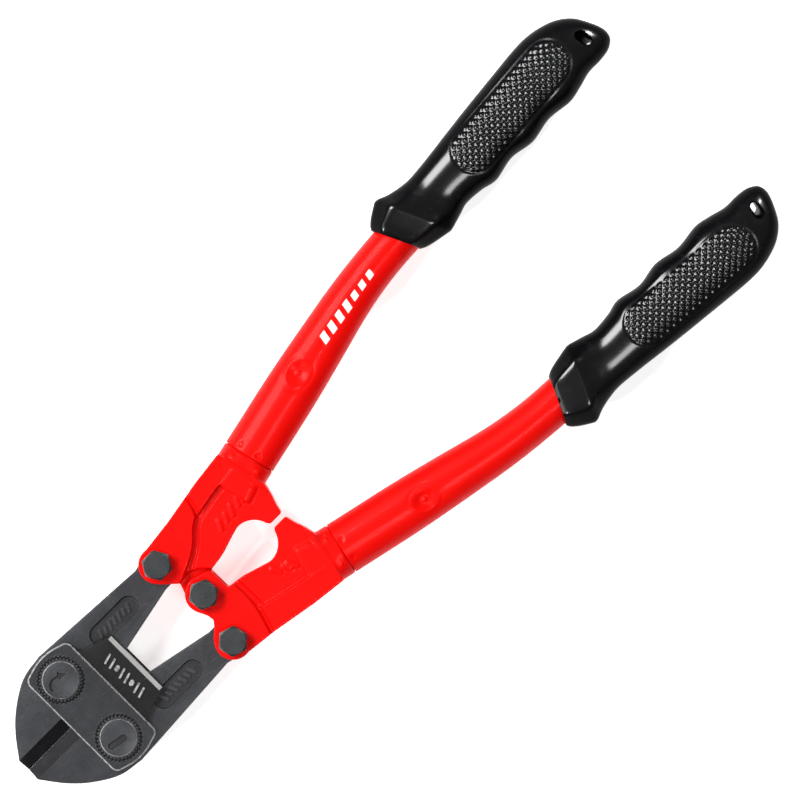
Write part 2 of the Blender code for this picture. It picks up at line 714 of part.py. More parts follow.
def grip_stations():
    """Grip sections: place from the mouth, outer and inner reach, half-thickness, slant."""
    deep = GRIP_THICKNESS / 2
    slant = GRIP_MOUTH_SLANT
    return (
        (0.0000, 0.0092, 0.0088, deep * 0.77, slant),
        (0.0035, 0.0112, 0.0100, deep * 0.88, slant),
        (0.0100, 0.0142, 0.0115, deep, slant),
        (0.0120, 0.0142, 0.0115, deep, slant),
        (0.0165, 0.0119, 0.0104, deep * 0.92, slant - 1),
        (0.0225, 0.0109, 0.0092, deep * 0.86, slant - 3),
        (0.0310, 0.0115, 0.0099, deep * 0.91, 8.0),
        (0.0385, 0.0123, 0.0113, deep * 0.96, 0.0),
        (0.0475, 0.0130, 0.0100, deep * 0.97, 0.0),
        (0.0565, 0.0136, 0.0116, deep, 0.0),
        (0.0660, 0.0142, 0.0104, deep, 0.0),
        (0.0750, 0.0147, 0.0117, deep, 0.0),
        (0.0810, 0.0145, 0.0109, deep * 0.97, 0.0),
        (0.0870, 0.0132, 0.0096, deep * 0.90, 0.0),
        (0.0925, 0.0108, 0.0097, deep * 0.79, 0.0),
        (0.0970, 0.0068, 0.0092, deep * 0.64, 0.0),
        (0.1000, 0.0010, 0.0076, deep * 0.45, 0.0),
        (0.1014, -0.0022, 0.0060, deep * 0.24, 0.0),
    )


def make_grip(side, name, body):
    """A moulded grip: collar, waist, finger bumps, blind bore for the tube, hanging hole."""
    rings = [
        handle_ring(GRIP_START + place, outer, inner, half, slant, GRIP_SQUARENESS)
        for place, outer, inner, half, slant in grip_stations()
    ]
    grip = add_piece(name, skin(rings), GRIP_RUBBER, body, side)
    end = GRIP_START + TUBE_INSERT + FACE_GAP * 2
    start = GRIP_START - GRIP_MOUTH_RUN_OUT
    bore = [tube_ring(s, -FACE_GAP) for s in (start, GRIP_START + GRIP_MOUTH_START, end)]
    combine(grip, skin(bore), body, side=side)
    length = grip_stations()[-1][0]
    place, now = along_handle(GRIP_START + length - HANGING_HOLE_INSET)
    place = place - heading_vector(now + 90) * HANGING_HOLE_DROP
    straight = HANGING_HOLE_LENGTH - HANGING_HOLE_WIDTH
    hole = slot(place, HANGING_HOLE_WIDTH / 2, straight, now + 90)
    combine(grip, prism(hole, -FAR, FAR), body, side=side)


# ---------------------------------------------------------------- the whole tool


def flipped(point, side):
    """A point, or its mirror twin on side -1."""
    return Vector((point.x, point.y * side, point.z))


def make_side(side, name, straps):
    """The jaw, adjuster and handle of one side; returns the handle's body."""
    make_adjusting_bolt(side, f"adjusting_bolt_{name}", straps)
    make_adjusting_nut(side, f"adjusting_nut_{name}", straps)
    jaw = hinge_body(f"jaw_{name}_pivot", flipped(JAW_PIVOT, side), straps)
    make_jaw(side, f"jaw_{name}", jaw)
    handle = hinge_body(f"handle_{name}_pivot", flipped(JAW_BOLT, side), jaw)
    make_arm(side, f"arm_{name}", handle)
    make_tube(side, f"tube_{name}", handle)
    make_grip(side, f"grip_{name}", handle)
    turn = UPPER_BOLT_TURN if side > 0 else LOWER_BOLT_TURN
    make_hex_bolt(JAW_BOLT, turn, side, f"jaw_bolt_{name}", handle)
    make_lock_nut(JAW_BOLT, side, f"jaw_nut_{name}", handle)
    make_lock_ring(JAW_BOLT, side, f"jaw_nut_ring_{name}", handle)
    return handle


def stand_on_floor(root):
    """Move the tool so that the bottom centre of its box is the origin."""
    bpy.context.view_layer.update()
    points = [
        thing.matrix_world @ vertex.co
        for thing in bpy.context.scene.objects
        if thing.type == "MESH" and not thing.hide_render
        for vertex in thing.data.vertices
    ]
    low = [min(point[axis] for point in points) for axis in range(3)]
    high = [max(point[axis] for point in points) for axis in range(3)]
    shift = Vector(((low[0] + high[0]) / 2, (low[1] + high[1]) / 2, low[2]))
    root.location = root.location - shift


def main():
    """Build the tool."""
    for thing in list(bpy.data.objects):
        bpy.data.objects.remove(thing)
    straps = hinge_body("straps", Vector((0.0, 0.0, 0.0)))
    make_strap(1, "strap_front", straps)
    make_strap(-1, "strap_back", straps)
    make_side(1, "upper", straps)
    lower = make_side(-1, "lower", straps)
    make_hex_bolt(CENTRE_BOLT, CENTRE_BOLT_TURN, 1, "centre_bolt", lower)
    make_lock_nut(CENTRE_BOLT, 1, "centre_nut", lower)
    make_lock_ring(CENTRE_BOLT, 1, "centre_nut_ring", lower)
    stand_on_floor(straps.empty)


main()
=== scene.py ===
"""Looks of the bolt cutters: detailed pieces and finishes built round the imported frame.

Shapes are drawn in millimetres in the tool's own frame, as in the part's source: +X from the
jaws to the grips, +Y to the upper handle and +Z out of the front, with zero midway between the
two adjusting bolts at mid-thickness. ToolFrame turns them to metres in the row frame. Pieces of
the lower half are drawn as their upper twins and mirrored in y.
"""
import json
import logging
import math
from dataclasses import dataclass
from enum import Enum
from typing import Any, Callable, Optional, Sequence, Union

import bmesh
import bpy
from mathutils import Matrix, Vector


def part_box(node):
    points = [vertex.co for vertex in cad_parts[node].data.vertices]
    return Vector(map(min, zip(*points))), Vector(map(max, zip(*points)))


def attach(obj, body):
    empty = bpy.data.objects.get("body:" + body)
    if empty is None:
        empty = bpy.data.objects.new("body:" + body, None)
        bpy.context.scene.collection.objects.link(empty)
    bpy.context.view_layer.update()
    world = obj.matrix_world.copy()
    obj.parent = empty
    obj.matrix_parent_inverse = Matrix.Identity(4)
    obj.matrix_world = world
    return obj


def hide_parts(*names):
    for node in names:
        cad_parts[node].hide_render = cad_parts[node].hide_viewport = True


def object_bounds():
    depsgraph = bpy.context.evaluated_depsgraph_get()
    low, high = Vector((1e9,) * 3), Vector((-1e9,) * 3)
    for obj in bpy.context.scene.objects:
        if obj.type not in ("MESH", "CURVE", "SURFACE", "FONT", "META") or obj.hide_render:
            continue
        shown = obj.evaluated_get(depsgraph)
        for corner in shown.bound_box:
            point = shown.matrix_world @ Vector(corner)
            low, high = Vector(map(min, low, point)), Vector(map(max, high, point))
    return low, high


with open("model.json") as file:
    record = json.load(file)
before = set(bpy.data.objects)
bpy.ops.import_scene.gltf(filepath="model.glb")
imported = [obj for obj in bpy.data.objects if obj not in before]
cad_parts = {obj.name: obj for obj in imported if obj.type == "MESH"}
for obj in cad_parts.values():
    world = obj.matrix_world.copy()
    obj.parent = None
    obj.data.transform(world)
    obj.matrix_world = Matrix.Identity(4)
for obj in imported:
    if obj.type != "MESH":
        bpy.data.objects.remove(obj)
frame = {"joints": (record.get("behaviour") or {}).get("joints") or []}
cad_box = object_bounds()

log = logging.getLogger("bolt_cutters")

Point = tuple[float, float]
Outline = list[Point]
Ring = list[tuple[float, float, float]]
Colour = tuple[float, float, float]
Sockets = Optional[dict[Union[str, int], Any]]
Solid = bmesh.types.BMesh
Material = bpy.types.Material
# A level beyond every face, for cuts that go right through.
FAR = 30.0
# The slanting facet of a grip's collar: its shares of width and depth, and its distance.
FACET, FACET_REACH = (0.58, 0.42), 0.7564
# Powers that shape a grip's collar and body; 2 is an ellipse and more is squarer.
SHARPNESS, ROUNDNESS = 26, 2.45


# ---------------------------------------------------------------- shader graphs


def operator(operation: str, swapped: bool = False) -> Callable[..., "Value"]:
    """Make an operator of Value that adds one Math node.

    Args:
        operation: The node's operation.
        swapped: Whether the value is its last term.

    Returns:
        The operator.
    """

    def apply(value: "Value", *others: Any) -> "Value":
        """Return the operation's result as a value."""
        return value.graph.math(operation, *((*others, value) if swapped else (value, *others)))

    return apply


class Value:
    """A number that varies over a surface: arithmetic on it adds Math nodes."""

    __add__ = __radd__ = operator("ADD")
    __sub__, __rsub__ = operator("SUBTRACT"), operator("SUBTRACT", swapped=True)
    __mul__ = __rmul__ = operator("MULTIPLY")
    __truediv__, __rtruediv__ = operator("DIVIDE"), operator("DIVIDE", swapped=True)
    __abs__ = operator("ABSOLUTE")
    fraction = operator("FRACT")

    def __init__(self, graph: "Graph", socket: bpy.types.NodeSocket) -> None:
        """Wrap an output socket of a graph's node."""
        self.graph = graph
        self.socket = socket

    def ramp(self, low: float, high: float) -> "Value":
        """Return 0 below low, 1 above high and a smooth rise between."""
        limits = {"Value": self, "From Min": low, "From Max": high}
        return self.graph.add("MapRange", {"interpolation_type": "SMOOTHSTEP"}, limits)


class Graph:
    """A material and its shader graph; patterns are measured in millimetres."""

    def __init__(self, name: str) -> None:
        """Start an empty material.

        Args:
            name: The material's name.
        """
        self.material = bpy.data.materials.new(name)
        self.material.use_nodes = True
        self.nodes = self.material.node_tree.nodes
        self.links = self.material.node_tree.links
        self.nodes.clear()
        where = self.node("TexCoord").outputs["Object"]
        self.place = self.vector("SCALE", {0: where, "Scale": 1000.0})

    def node(self, kind: str, settings: Sockets = None, sockets: Sockets = None) -> bpy.types.Node:
        """Add a node, with its settings first and then its sockets.

        Args:
            kind: The node's type.
            settings: Its properties.
            sockets: A number, a colour, a value or a socket for each named or numbered input.

        Returns:
            The node.
        """
        made = self.nodes.new(f"ShaderNode{kind}")
        for key, setting in (settings or {}).items():
            setattr(made, key, setting)
        for key, given in (sockets or {}).items():
            given = given.socket if isinstance(given, Value) else given
            if isinstance(given, bpy.types.NodeSocket):
                self.links.new(given, made.inputs[key])
            else:
                made.inputs[key].default_value = given
        return made

    def add(self, kind: str, settings: Sockets, sockets: Sockets, output: Any = 0) -> Value:
        """Add a node and return one of its outputs as a value."""
        return Value(self, self.node(kind, settings, sockets).outputs[output])

    def math(self, operation: str, *terms: Any) -> Value:
        """Return the result of a Math operation on values or numbers."""
        return self.add("Math", {"operation": operation}, dict(enumerate(terms)))

    def vector(self, operation: str, sockets: Sockets) -> bpy.types.NodeSocket:
        """Return the result of a Vector Math operation."""
        return self.node("VectorMath", {"operation": operation}, sockets).outputs[0]

    def axis(self, name: str, vector: Optional[bpy.types.NodeSocket] = None) -> Value:
        """Return X, Y or Z of a vector, or of the place in millimetres."""
        return self.add("SeparateXYZ", None, {0: vector or self.place}, name)

    def stretched(self, scale: Colour) -> bpy.types.NodeSocket:
        """Return the place with each axis scaled, for patterns that run one way."""
        return self.vector("MULTIPLY", {0: self.place, 1: scale})

    def noise(self, scale: float, detail: float = 3.0, place: Any = None) -> Value:
        """Return noise from 0 to 1, of so many blotches to a millimetre and finer layers."""
        sockets = {"Vector": place or self.place, "Scale": scale, "Detail": detail}
        return self.add("TexNoise", None, sockets)

    def cells(self, scale: float) -> Value:
        """Return the distance to the nearest of evenly scattered points."""
        sockets = {"Vector": self.place, "Scale": scale}
        return self.add("TexVoronoi", None, sockets, "Distance")

    def normal(self) -> bpy.types.NodeSocket:
        """Return the surface's normal."""
        return self.node("NewGeometry").outputs["Normal"]

    def edges(self, radius: float) -> Value:
        """Find the piece's edges.

        Args:
            radius: How wide a band beside an edge counts, in millimetres.

        Returns:
            A mask that rises to 1 along sharp edges.
        """
        rounded = self.node("Bevel", {"samples": 4}, {"Radius": radius / 1000}).outputs[0]
        sockets = {0: rounded, 1: self.normal()}
        facing = self.add("VectorMath", {"operation": "DOT_PRODUCT"}, sockets, "Value")
        return (1 - facing).ramp(0.01, 0.18)

    def squareness(self) -> Value:
        """Return how squarely the surface faces the front or the back, from 0 to 1."""
        return abs(self.axis("Z", self.normal()))

    def blend(self, share: Any, first: Any, second: Any) -> bpy.types.NodeSocket:
        """Return a mix of two colours or colour sockets, with a share of the second."""
        sockets = {0: share, 6: self.rgba(first), 7: self.rgba(second)}
        return self.node("Mix", {"data_type": "RGBA", "clamp_factor": True}, sockets).outputs[2]

    @staticmethod
    def rgba(colour: Any) -> Any:
        """Return a colour with its alpha, or anything else as it is."""
        return (*colour, 1.0) if isinstance(colour, tuple) else colour

    def bump(self, height: Value, depth: float, under: Any = None) -> bpy.types.NodeSocket:
        """Turn a height into a normal.

        Args:
            height: The height, from 0 to 1.
            depth: What a height of 1 is, in millimetres.
            under: A normal that this relief lies on.

        Returns:
            The normal's socket.
        """
        sockets = {"Height": height, "Distance": depth / 1000, "Strength": 1.0}
        if under is not None:
            sockets["Normal"] = under
        return self.node("Bump", None, sockets).outputs[0]

    def surface(self, **sockets: Any) -> Material:
        """End the graph in a Principled shader.

        Args:
            sockets: What goes in its inputs, with _ for each space in their names.

        Returns:
            The finished material.
        """
        named = {key.replace("_", " "): self.rgba(given) for key, given in sockets.items()}
        shader = self.node("BsdfPrincipled", None, named)
        self.node("OutputMaterial", None, {"Surface": shader.outputs[0]})
        return self.material


# ---------------------------------------------------------------- finishes


@dataclass(frozen=True)
class Look:
    """A named finish with a base colour."""

    name: str
    colour: Colour

    def shade(self, share: float) -> Colour:
        """Return the base colour, darkened or lightened."""
        return tuple(part * share for part in self.colour)


@dataclass(frozen=True)
class DarkSteel(Look):
    """Steel under a thin black finish: blasted grain, mottling, and pale metal at worn edges."""

    metal: float = 0.55
    roughness: float = 0.44
    grain: float = 0.012
    worn: float = 0.35
    edge: float = 0.25
    specular: float = 0.5
    bare: Colour = (0.34, 0.34, 0.33)

    def make(self) -> Material:
        """Build the material.

        Returns:
            The material.
        """
        graph = Graph(self.name)
        mottle = graph.noise(0.16, 4.0)
        pits = graph.noise(2.6, 5.0)
        fine = graph.noise(9.0, 2.0)
        scuffs = graph.noise(0.9, 5.0, graph.stretched((0.35, 1.6, 1.0))).ramp(0.60, 0.72)
        tint = (mottle * 0.5 + pits * 0.5).ramp(0.32, 0.68)
        body = graph.blend(tint, self.shade(0.74), self.shade(1.28))
        wear = graph.edges(self.edge) * (mottle * 0.7 + fine * 0.6).ramp(0.35, 0.75) * self.worn
        shade = graph.blend(wear + scuffs * 0.05, body, self.bare)
        height = pits * 0.6 + fine * 0.4
        return graph.surface(
            Base_Color=shade,
            Metallic=self.metal,
            Roughness=self.roughness + (pits - 0.5) * 0.24 - wear * 0.15,
            Specular_IOR_Level=self.specular,
            Normal=graph.bump(height, self.grain),
        )


@dataclass(frozen=True)
class GroundSteel(Look):
    """Bare ground steel with fine parallel grinding lines."""

    roughness: float = 0.30
    lines: Colour = (0.25, 6.0, 6.0)
    stain: float = 0.3

    def make(self) -> Material:
        """Build the material.

        Returns:
            The material.
        """
        graph = Graph(self.name)
        streaks = graph.noise(1.6, 4.0, graph.stretched(self.lines))
        stain = graph.noise(0.7, 5.0).ramp(0.42, 0.70)
        pale = graph.blend(streaks, self.shade(0.72), self.colour)
        shade = graph.blend(stain * self.stain, pale, self.shade(0.25))
        return graph.surface(
            Base_Color=shade,
            Metallic=0.9,
            Roughness=self.roughness + streaks * 0.22 + stain * 0.10,
            Normal=graph.bump(streaks, 0.010),
        )


@dataclass(frozen=True)
class RedPaint(Look):
    """Thick red paint with a faint orange peel, and on one tube a printed row of plain dashes."""

    deep: Colour
    mark: Optional["Mark"] = None

    def make(self) -> Material:
        """Build the material.

        Returns:
            The material.
        """
        graph = Graph(self.name)
        pooled = graph.noise(0.10, 3.0).ramp(0.35, 0.75)
        peel = graph.noise(0.75, 2.0)
        dust = graph.cells(0.55).ramp(0.10, 0.03)
        wisps = graph.noise(1.4, 4.0, graph.stretched((0.25, 2.2, 1.0))).ramp(0.66, 0.80)
        body = graph.blend(pooled * 0.5, self.colour, self.deep)
        body = graph.blend(wisps * 0.04, body, (0.95, 0.20, 0.16))
        roughness = 0.36 + wisps * 0.10 + graph.noise(0.3, 3.0) * 0.10
        height = peel + dust * 0.5
        if self.mark is not None:
            ink = self.mark.mask(graph)
            body = graph.blend(ink, body, (0.90, 0.89, 0.87))
            roughness = roughness + ink * 0.25
            height = height + ink * 0.4
        return graph.surface(
            Base_Color=body,
            Roughness=roughness,
            Coat_Weight=0.05,
            Coat_Roughness=0.05,
            Specular_IOR_Level=0.06,
            Normal=graph.bump(height, 0.012),
        )


@dataclass(frozen=True)
class Mark:
    """A printed row of plain slanted dashes along a tube, lower beyond a share of its length."""

    start: Point
    degrees: float
    length: float = 30.0
    tall_share: float = 0.6
    height: float = 3.6

    def mask(self, graph: Graph) -> Value:
        """Draw the dashes.

        Args:
            graph: The graph to draw in.

        Returns:
            1 on the ink and 0 off it.
        """
        turn = math.radians(self.degrees)
        x = graph.axis("X") - self.start[0]
        y = graph.axis("Y") - self.start[1]
        along = x * math.cos(turn) + y * math.sin(turn)
        across = y * math.cos(turn) - x * math.sin(turn)
        slanted = along - across * 0.35
        step = (slanted / 4.4).fraction()
        dash = (0.5 - abs(step - 0.5)).ramp(0.205, 0.235)
        inside = (self.length / 2 - abs(along - self.length / 2)).ramp(0.0, 0.12)
        tall = (self.length * self.tall_share - along).ramp(-0.1, 0.1)
        reach = self.height * (0.36 + tall * 0.14)
        band = (reach - abs(across)).ramp(0.0, 0.12)
        front = graph.axis("Z").ramp(14.0, 14.2)
        worn = 1 - graph.noise(1.8, 4.0).ramp(0.62, 0.70) * 0.8
        return dash * inside * band * front * worn


@dataclass(frozen=True)
class GripVinyl(Look):
    """Glossy black dipped vinyl: soft waves, fine grain and a little pale dust."""

    def make(self) -> Material:
        """Build the material.

        Returns:
            The material.
        """
        graph = Graph(self.name)
        wave = graph.noise(0.12, 2.0)
        grain = graph.noise(5.0, 3.0)
        dust = (graph.noise(0.35, 5.0) * graph.noise(2.2, 4.0)).ramp(0.30, 0.42)
        shade = graph.blend(dust * 0.12, self.colour, (0.045, 0.046, 0.050))
        under = graph.bump(wave, 0.10)
        return graph.surface(
            Base_Color=shade,
            Roughness=0.24 + wave * 0.10 + dust * 0.12,
            IOR=1.06,
            # The coat is kept to faces that look front or back, so the steep sides lose their
            # reflection and read dark: a painted darkening of the sides, not a change in the vinyl.
            Coat_Weight=graph.squareness().ramp(0.70, 0.93) * 0.27 + 0.01,
            Coat_IOR=2.5,
            Coat_Roughness=0.20,
            Normal=graph.bump(grain, 0.0018, under),
        )


@dataclass(frozen=True)
class Nylon(Look):
    """Cream nylon with a faint grain."""

    def make(self) -> Material:
        """Build the material.

        Returns:
            The material.
        """
        graph = Graph(self.name)
        cloud = graph.noise(0.8, 3.0)
        shade = graph.blend(cloud, self.colour, self.shade(0.8))
        return graph.surface(
            Base_Color=shade,
            Roughness=0.38 + cloud * 0.15,
            Normal=graph.bump(graph.noise(5.0), 0.01),
        )


@dataclass(frozen=True)
class PaleFloor(Look):
    """A plain pale studio floor."""

    glow: float = 0.70

    def make(self) -> Material:
        """Build the material.

        Returns:
            The material.
        """
        graph = Graph(self.name)
        cloud = graph.noise(0.01, 2.0)
        shade = graph.blend(cloud * 0.5, self.colour, self.shade(0.985))
        return graph.surface(
            Base_Color=shade,
            Roughness=0.7,
            Specular_IOR_Level=0.1,
            Emission_Color=shade,
            Emission_Strength=self.glow,
        )


# ---------------------------------------------------------------- outlines


def polar(centre: Sequence[float], radius: float, degrees: float) -> Point:
    """Return the point at an angle round a centre."""
    turn = math.radians(degrees)
    return (centre[0] + radius * math.cos(turn), centre[1] + radius * math.sin(turn))


def arc(
    centre: Sequence[float], radius: float, start: float, end: float, steps: int
) -> Outline:
    """Return part of a circle, from one angle to another in degrees, with both ends."""
    return [polar(centre, radius, start + (end - start) * i / steps) for i in range(steps + 1)]


def circle(centre: Sequence[float], radius: float, sides: int = 96) -> Outline:
    """Return a closed ring of points."""
    return [polar(centre, radius, 360 * i / sides) for i in range(sides)]


def slot(centre: Sequence[float], radius: float, length: float, degrees: float = 0.0) -> Outline:
    """Draw a round-ended slot.

    Args:
        centre: Its middle.
        radius: Half its width.
        length: The distance between its end centres.
        degrees: Its turn about its middle.

    Returns:
        The closed outline.
    """
    ends = [polar(centre, length / 2, degrees + 180 * i) for i in range(2)]
    return arc(ends[0], radius, degrees - 90, degrees + 90, 12) + arc(
        ends[1], radius, degrees + 90, degrees + 270, 12
    )


def spline(points: Sequence[Sequence[float]], steps: int) -> list[tuple[float, ...]]:
    """Run a smooth curve through points.

    Args:
        points: The points, with any number of coordinates.
        steps: How many pieces each span is cut into.

    Returns:
        The curve's points.
    """

    def between(a: float, b: float, c: float, d: float, t: float) -> float:
        """Return a Catmull-Rom curve's coordinate between b and c."""
        square, cube = 2 * a - 5 * b + 4 * c - d, 3 * b - a - 3 * c + d
        return 0.5 * (2 * b + (c - a) * t + square * t**2 + cube * t**3)

    ends = [mirrored_end(points[0], points[1]), *points, mirrored_end(points[-1], points[-2])]
    run = []
    for span in zip(ends, ends[1:], ends[2:], ends[3:]):
        for i in range(steps):
            run.append(tuple(between(*row, i / steps) for row in zip(*span)))
    return run + [tuple(points[-1])]


def mirrored_end(end: Sequence[float], inner: Sequence[float]) -> tuple[float, ...]:
    """Return the point as far beyond an end as its neighbour is inside it."""
    return tuple(2 * a - b for a, b in zip(end, inner))


def offset(outline: Outline, distance: float) -> Outline:
    """Move a closed outline's sides outwards.

    Args:
        outline: Points in anticlockwise order.
        distance: How far they move; below zero is inwards.

    Returns:
        The moved outline, with as many points.
    """
    moved = []
    for i, point in enumerate(outline):
        here = Vector(point)
        arriving = (here - Vector(outline[i - 1])).normalized()
        leaving = (Vector(outline[(i + 1) % len(outline)]) - here).normalized()
        mean = arriving + leaving
        normal = Vector((mean.y, -mean.x)).normalized()
        miter = max(normal.dot(Vector((leaving.y, -leaving.x))), 0.4)
        moved.append(tuple(here + normal * distance / miter))
    return moved


def band(points: Sequence[Sequence[float]], width: float) -> Outline:
    """Draw a band of a width along a run of points.

    Args:
        points: The run.
        width: The band's width.

    Returns:
        The band's closed outline.
    """
    left = []
    right = []
    for i, point in enumerate(points):
        ahead = Vector(points[min(i + 1, len(points) - 1)]) - Vector(points[max(i - 1, 0)])
        across = Vector((-ahead.y, ahead.x)).normalized() * width / 2
        left.append(tuple(Vector(point) + across))
        right.append(tuple(Vector(point) - across))
    return right + left[::-1]


def hexagon(centre: Sequence[float], flats: float, phase: float, sides: int = 96) -> Outline:
    """Draw a hexagon with slightly rounded corners.

    Args:
        centre: Its centre.
        flats: Its width across flats.
        phase: Its turn in degrees.
        sides: How many points it has.

    Returns:
        The closed outline.
    """
    points = []
    for i in range(sides):
        degrees = 360 * i / sides
        reach = flats / 2 / math.cos(math.radians(degrees % 60 - 30))
        points.append(polar(centre, min(reach, flats * 0.5675), degrees + phase))
    return points


def toothed(centre: Sequence[float], root: float, tip: float, teeth: int) -> Outline:
    """Draw a ring of blunt radial teeth.

    Args:
        centre: Its centre.
        root: The radius between the teeth.
        tip: The radius at their tips.
        teeth: How many there are.

    Returns:
        The closed outline, four points to a tooth.
    """
    points = []
    for i in range(teeth):
        for share, radius in ((0.0, root), (0.34, root), (0.5, tip), (0.84, tip)):
            points.append(polar(centre, radius, 360 * (i + share) / teeth))
    return points


# ---------------------------------------------------------------- solids


def skin(rings: Sequence[Ring], hollow: bool = False) -> Solid:
    """Join a row of equal rings into one closed solid.

    Args:
        rings: The rings, each with as many points.
        hollow: Whether the row closes on itself, as in a tube, in place of end faces.

    Returns:
        The solid.
    """
    solid = bmesh.new()
    rows = [[solid.verts.new(point) for point in ring] for ring in rings]
    following = rows[1:] + (rows[:1] if hollow else [])
    for low, high in zip(rows, following):
        for i, corner in enumerate(low):
            j = (i + 1) % len(low)
            solid.faces.new((corner, low[j], high[j], high[i]))
    if not hollow:
        solid.faces.new(rows[0][::-1])
        solid.faces.new(rows[-1])
    bmesh.ops.recalc_face_normals(solid, faces=solid.faces)
    return solid


def at_level(outline: Outline, z: float) -> Ring:
    """Return an outline lifted to a level."""
    return [(x, y, z) for x, y in outline]


def prism(outline: Outline, low: float, high: float) -> Solid:
    """Return a straight-walled solid between two levels, given in either order."""
    return skin([at_level(outline, min(low, high)), at_level(outline, max(low, high))])


def drafted(outline: Outline, foot: float, top: float, draft: float) -> Solid:
    """Return a solid whose walls lean out by a draft, or in by one below zero."""
    return skin([at_level(outline, foot), at_level(offset(outline, draft), top)])


def rounded(outline: Outline, low: float, high: float, radius: float, steps: int = 3) -> Solid:
    """Make a plate with rounded rims.

    Args:
        outline: Its outline, anticlockwise.
        low: One face's level.
        high: The other's.
        radius: The rims' radius.
        steps: How many strips round a rim; one strip is a flat chamfer.

    Returns:
        The solid.
    """
    low, high = sorted((low, high))
    turns = [math.pi / 2 * i / steps for i in range(steps + 1)]
    rim = [(radius * (1 - math.sin(turn)), radius * (1 - math.cos(turn))) for turn in turns]
    rings = [at_level(offset(outline, -inset), low + rise) for inset, rise in rim]
    rings += [at_level(offset(outline, -inset), high - rise) for inset, rise in rim[::-1]]
    return skin(rings)


class Blank:
    """A piece of stock that is joined to, cut and softened until it is the piece."""

    def __init__(self, solid: Solid, side: int = 1) -> None:
        """Take the stock.

        Args:
            solid: The stock, which is used up.
            side: -1 to mirror it, and what it is worked with, to the lower half.
        """
        self.side = side
        self.stock = self.hold(solid)
        self.tools: list[bpy.types.Object] = []

    def hold(self, solid: Solid) -> bpy.types.Object:
        """Turn a solid into an object on the bench.

        Args:
            solid: The solid, which is used up.

        Returns:
            The object.
        """
        if self.side < 0:
            bmesh.ops.scale(solid, verts=solid.verts, vec=(1, -1, 1))
            bmesh.ops.reverse_faces(solid, faces=solid.faces)
        mesh = bpy.data.meshes.new("stock")
        solid.to_mesh(mesh)
        solid.free()
        thing = bpy.data.objects.new("stock", mesh)
        bpy.context.scene.collection.objects.link(thing)
        return thing

    def combine(self, solids: Sequence[Solid], operation: str) -> "Blank":
        """Add one Boolean step for each solid.

        Args:
            solids: The solids, which are used up.
            operation: UNION, DIFFERENCE or INTERSECT.

        Returns:
            The blank itself.
        """
        for solid in solids:
            tool = self.hold(solid)
            step = self.stock.modifiers.new("step", "BOOLEAN")
            step.operation = operation
            step.solver = "MANIFOLD"
            step.object = tool
            self.tools.append(tool)
        return self

    def cut(self, *solids: Solid) -> "Blank":
        """Cut solids out."""
        return self.combine(solids, "DIFFERENCE")

    def join(self, *solids: Solid) -> "Blank":
        """Join solids on."""
        return self.combine(solids, "UNION")

    def soften(self, voxel: float, rounds: int) -> "Blank":
        """Give it the soft corners and fillets of a forging.

        Args:
            voxel: How finely its skin is made anew.
            rounds: How often that skin is smoothed.

        Returns:
            The blank itself.
        """
        fine = self.stock.modifiers.new("fine", "REMESH")
        fine.mode = "VOXEL"
        fine.voxel_size = voxel
        smooth = self.stock.modifiers.new("smooth", "SMOOTH")
        smooth.factor = 0.5
        smooth.iterations = rounds
        return self

    def mesh(self) -> bpy.types.Mesh:
        """Work through the steps and clear the bench.

        Returns:
            The finished mesh, in millimetres.
        """
        graph = bpy.context.evaluated_depsgraph_get()
        made = bpy.data.meshes.new_from_object(self.stock.evaluated_get(graph), depsgraph=graph)
        for thing in [self.stock, *self.tools]:
            mesh = thing.data
            bpy.data.objects.remove(thing)
            bpy.data.meshes.remove(mesh)
        return made


# ---------------------------------------------------------------- the tool's frame


class Part(Enum):
    """The two halves of the tool."""

    UPPER = 1
    LOWER = -1

    @property
    def slit_lean(self) -> float:
        """Return how far its grip's hanging slit leans over, in degrees."""
        return 16.0 if self is Part.UPPER else 8.0

    @property
    def bolt_turn(self) -> float:
        """Return how far its jaw bolt's head is turned, in degrees."""
        return 0.0 if self is Part.UPPER else 17.0

    @property
    def tag(self) -> str:
        """Return the half's name in piece and body names."""
        return self.name.lower()


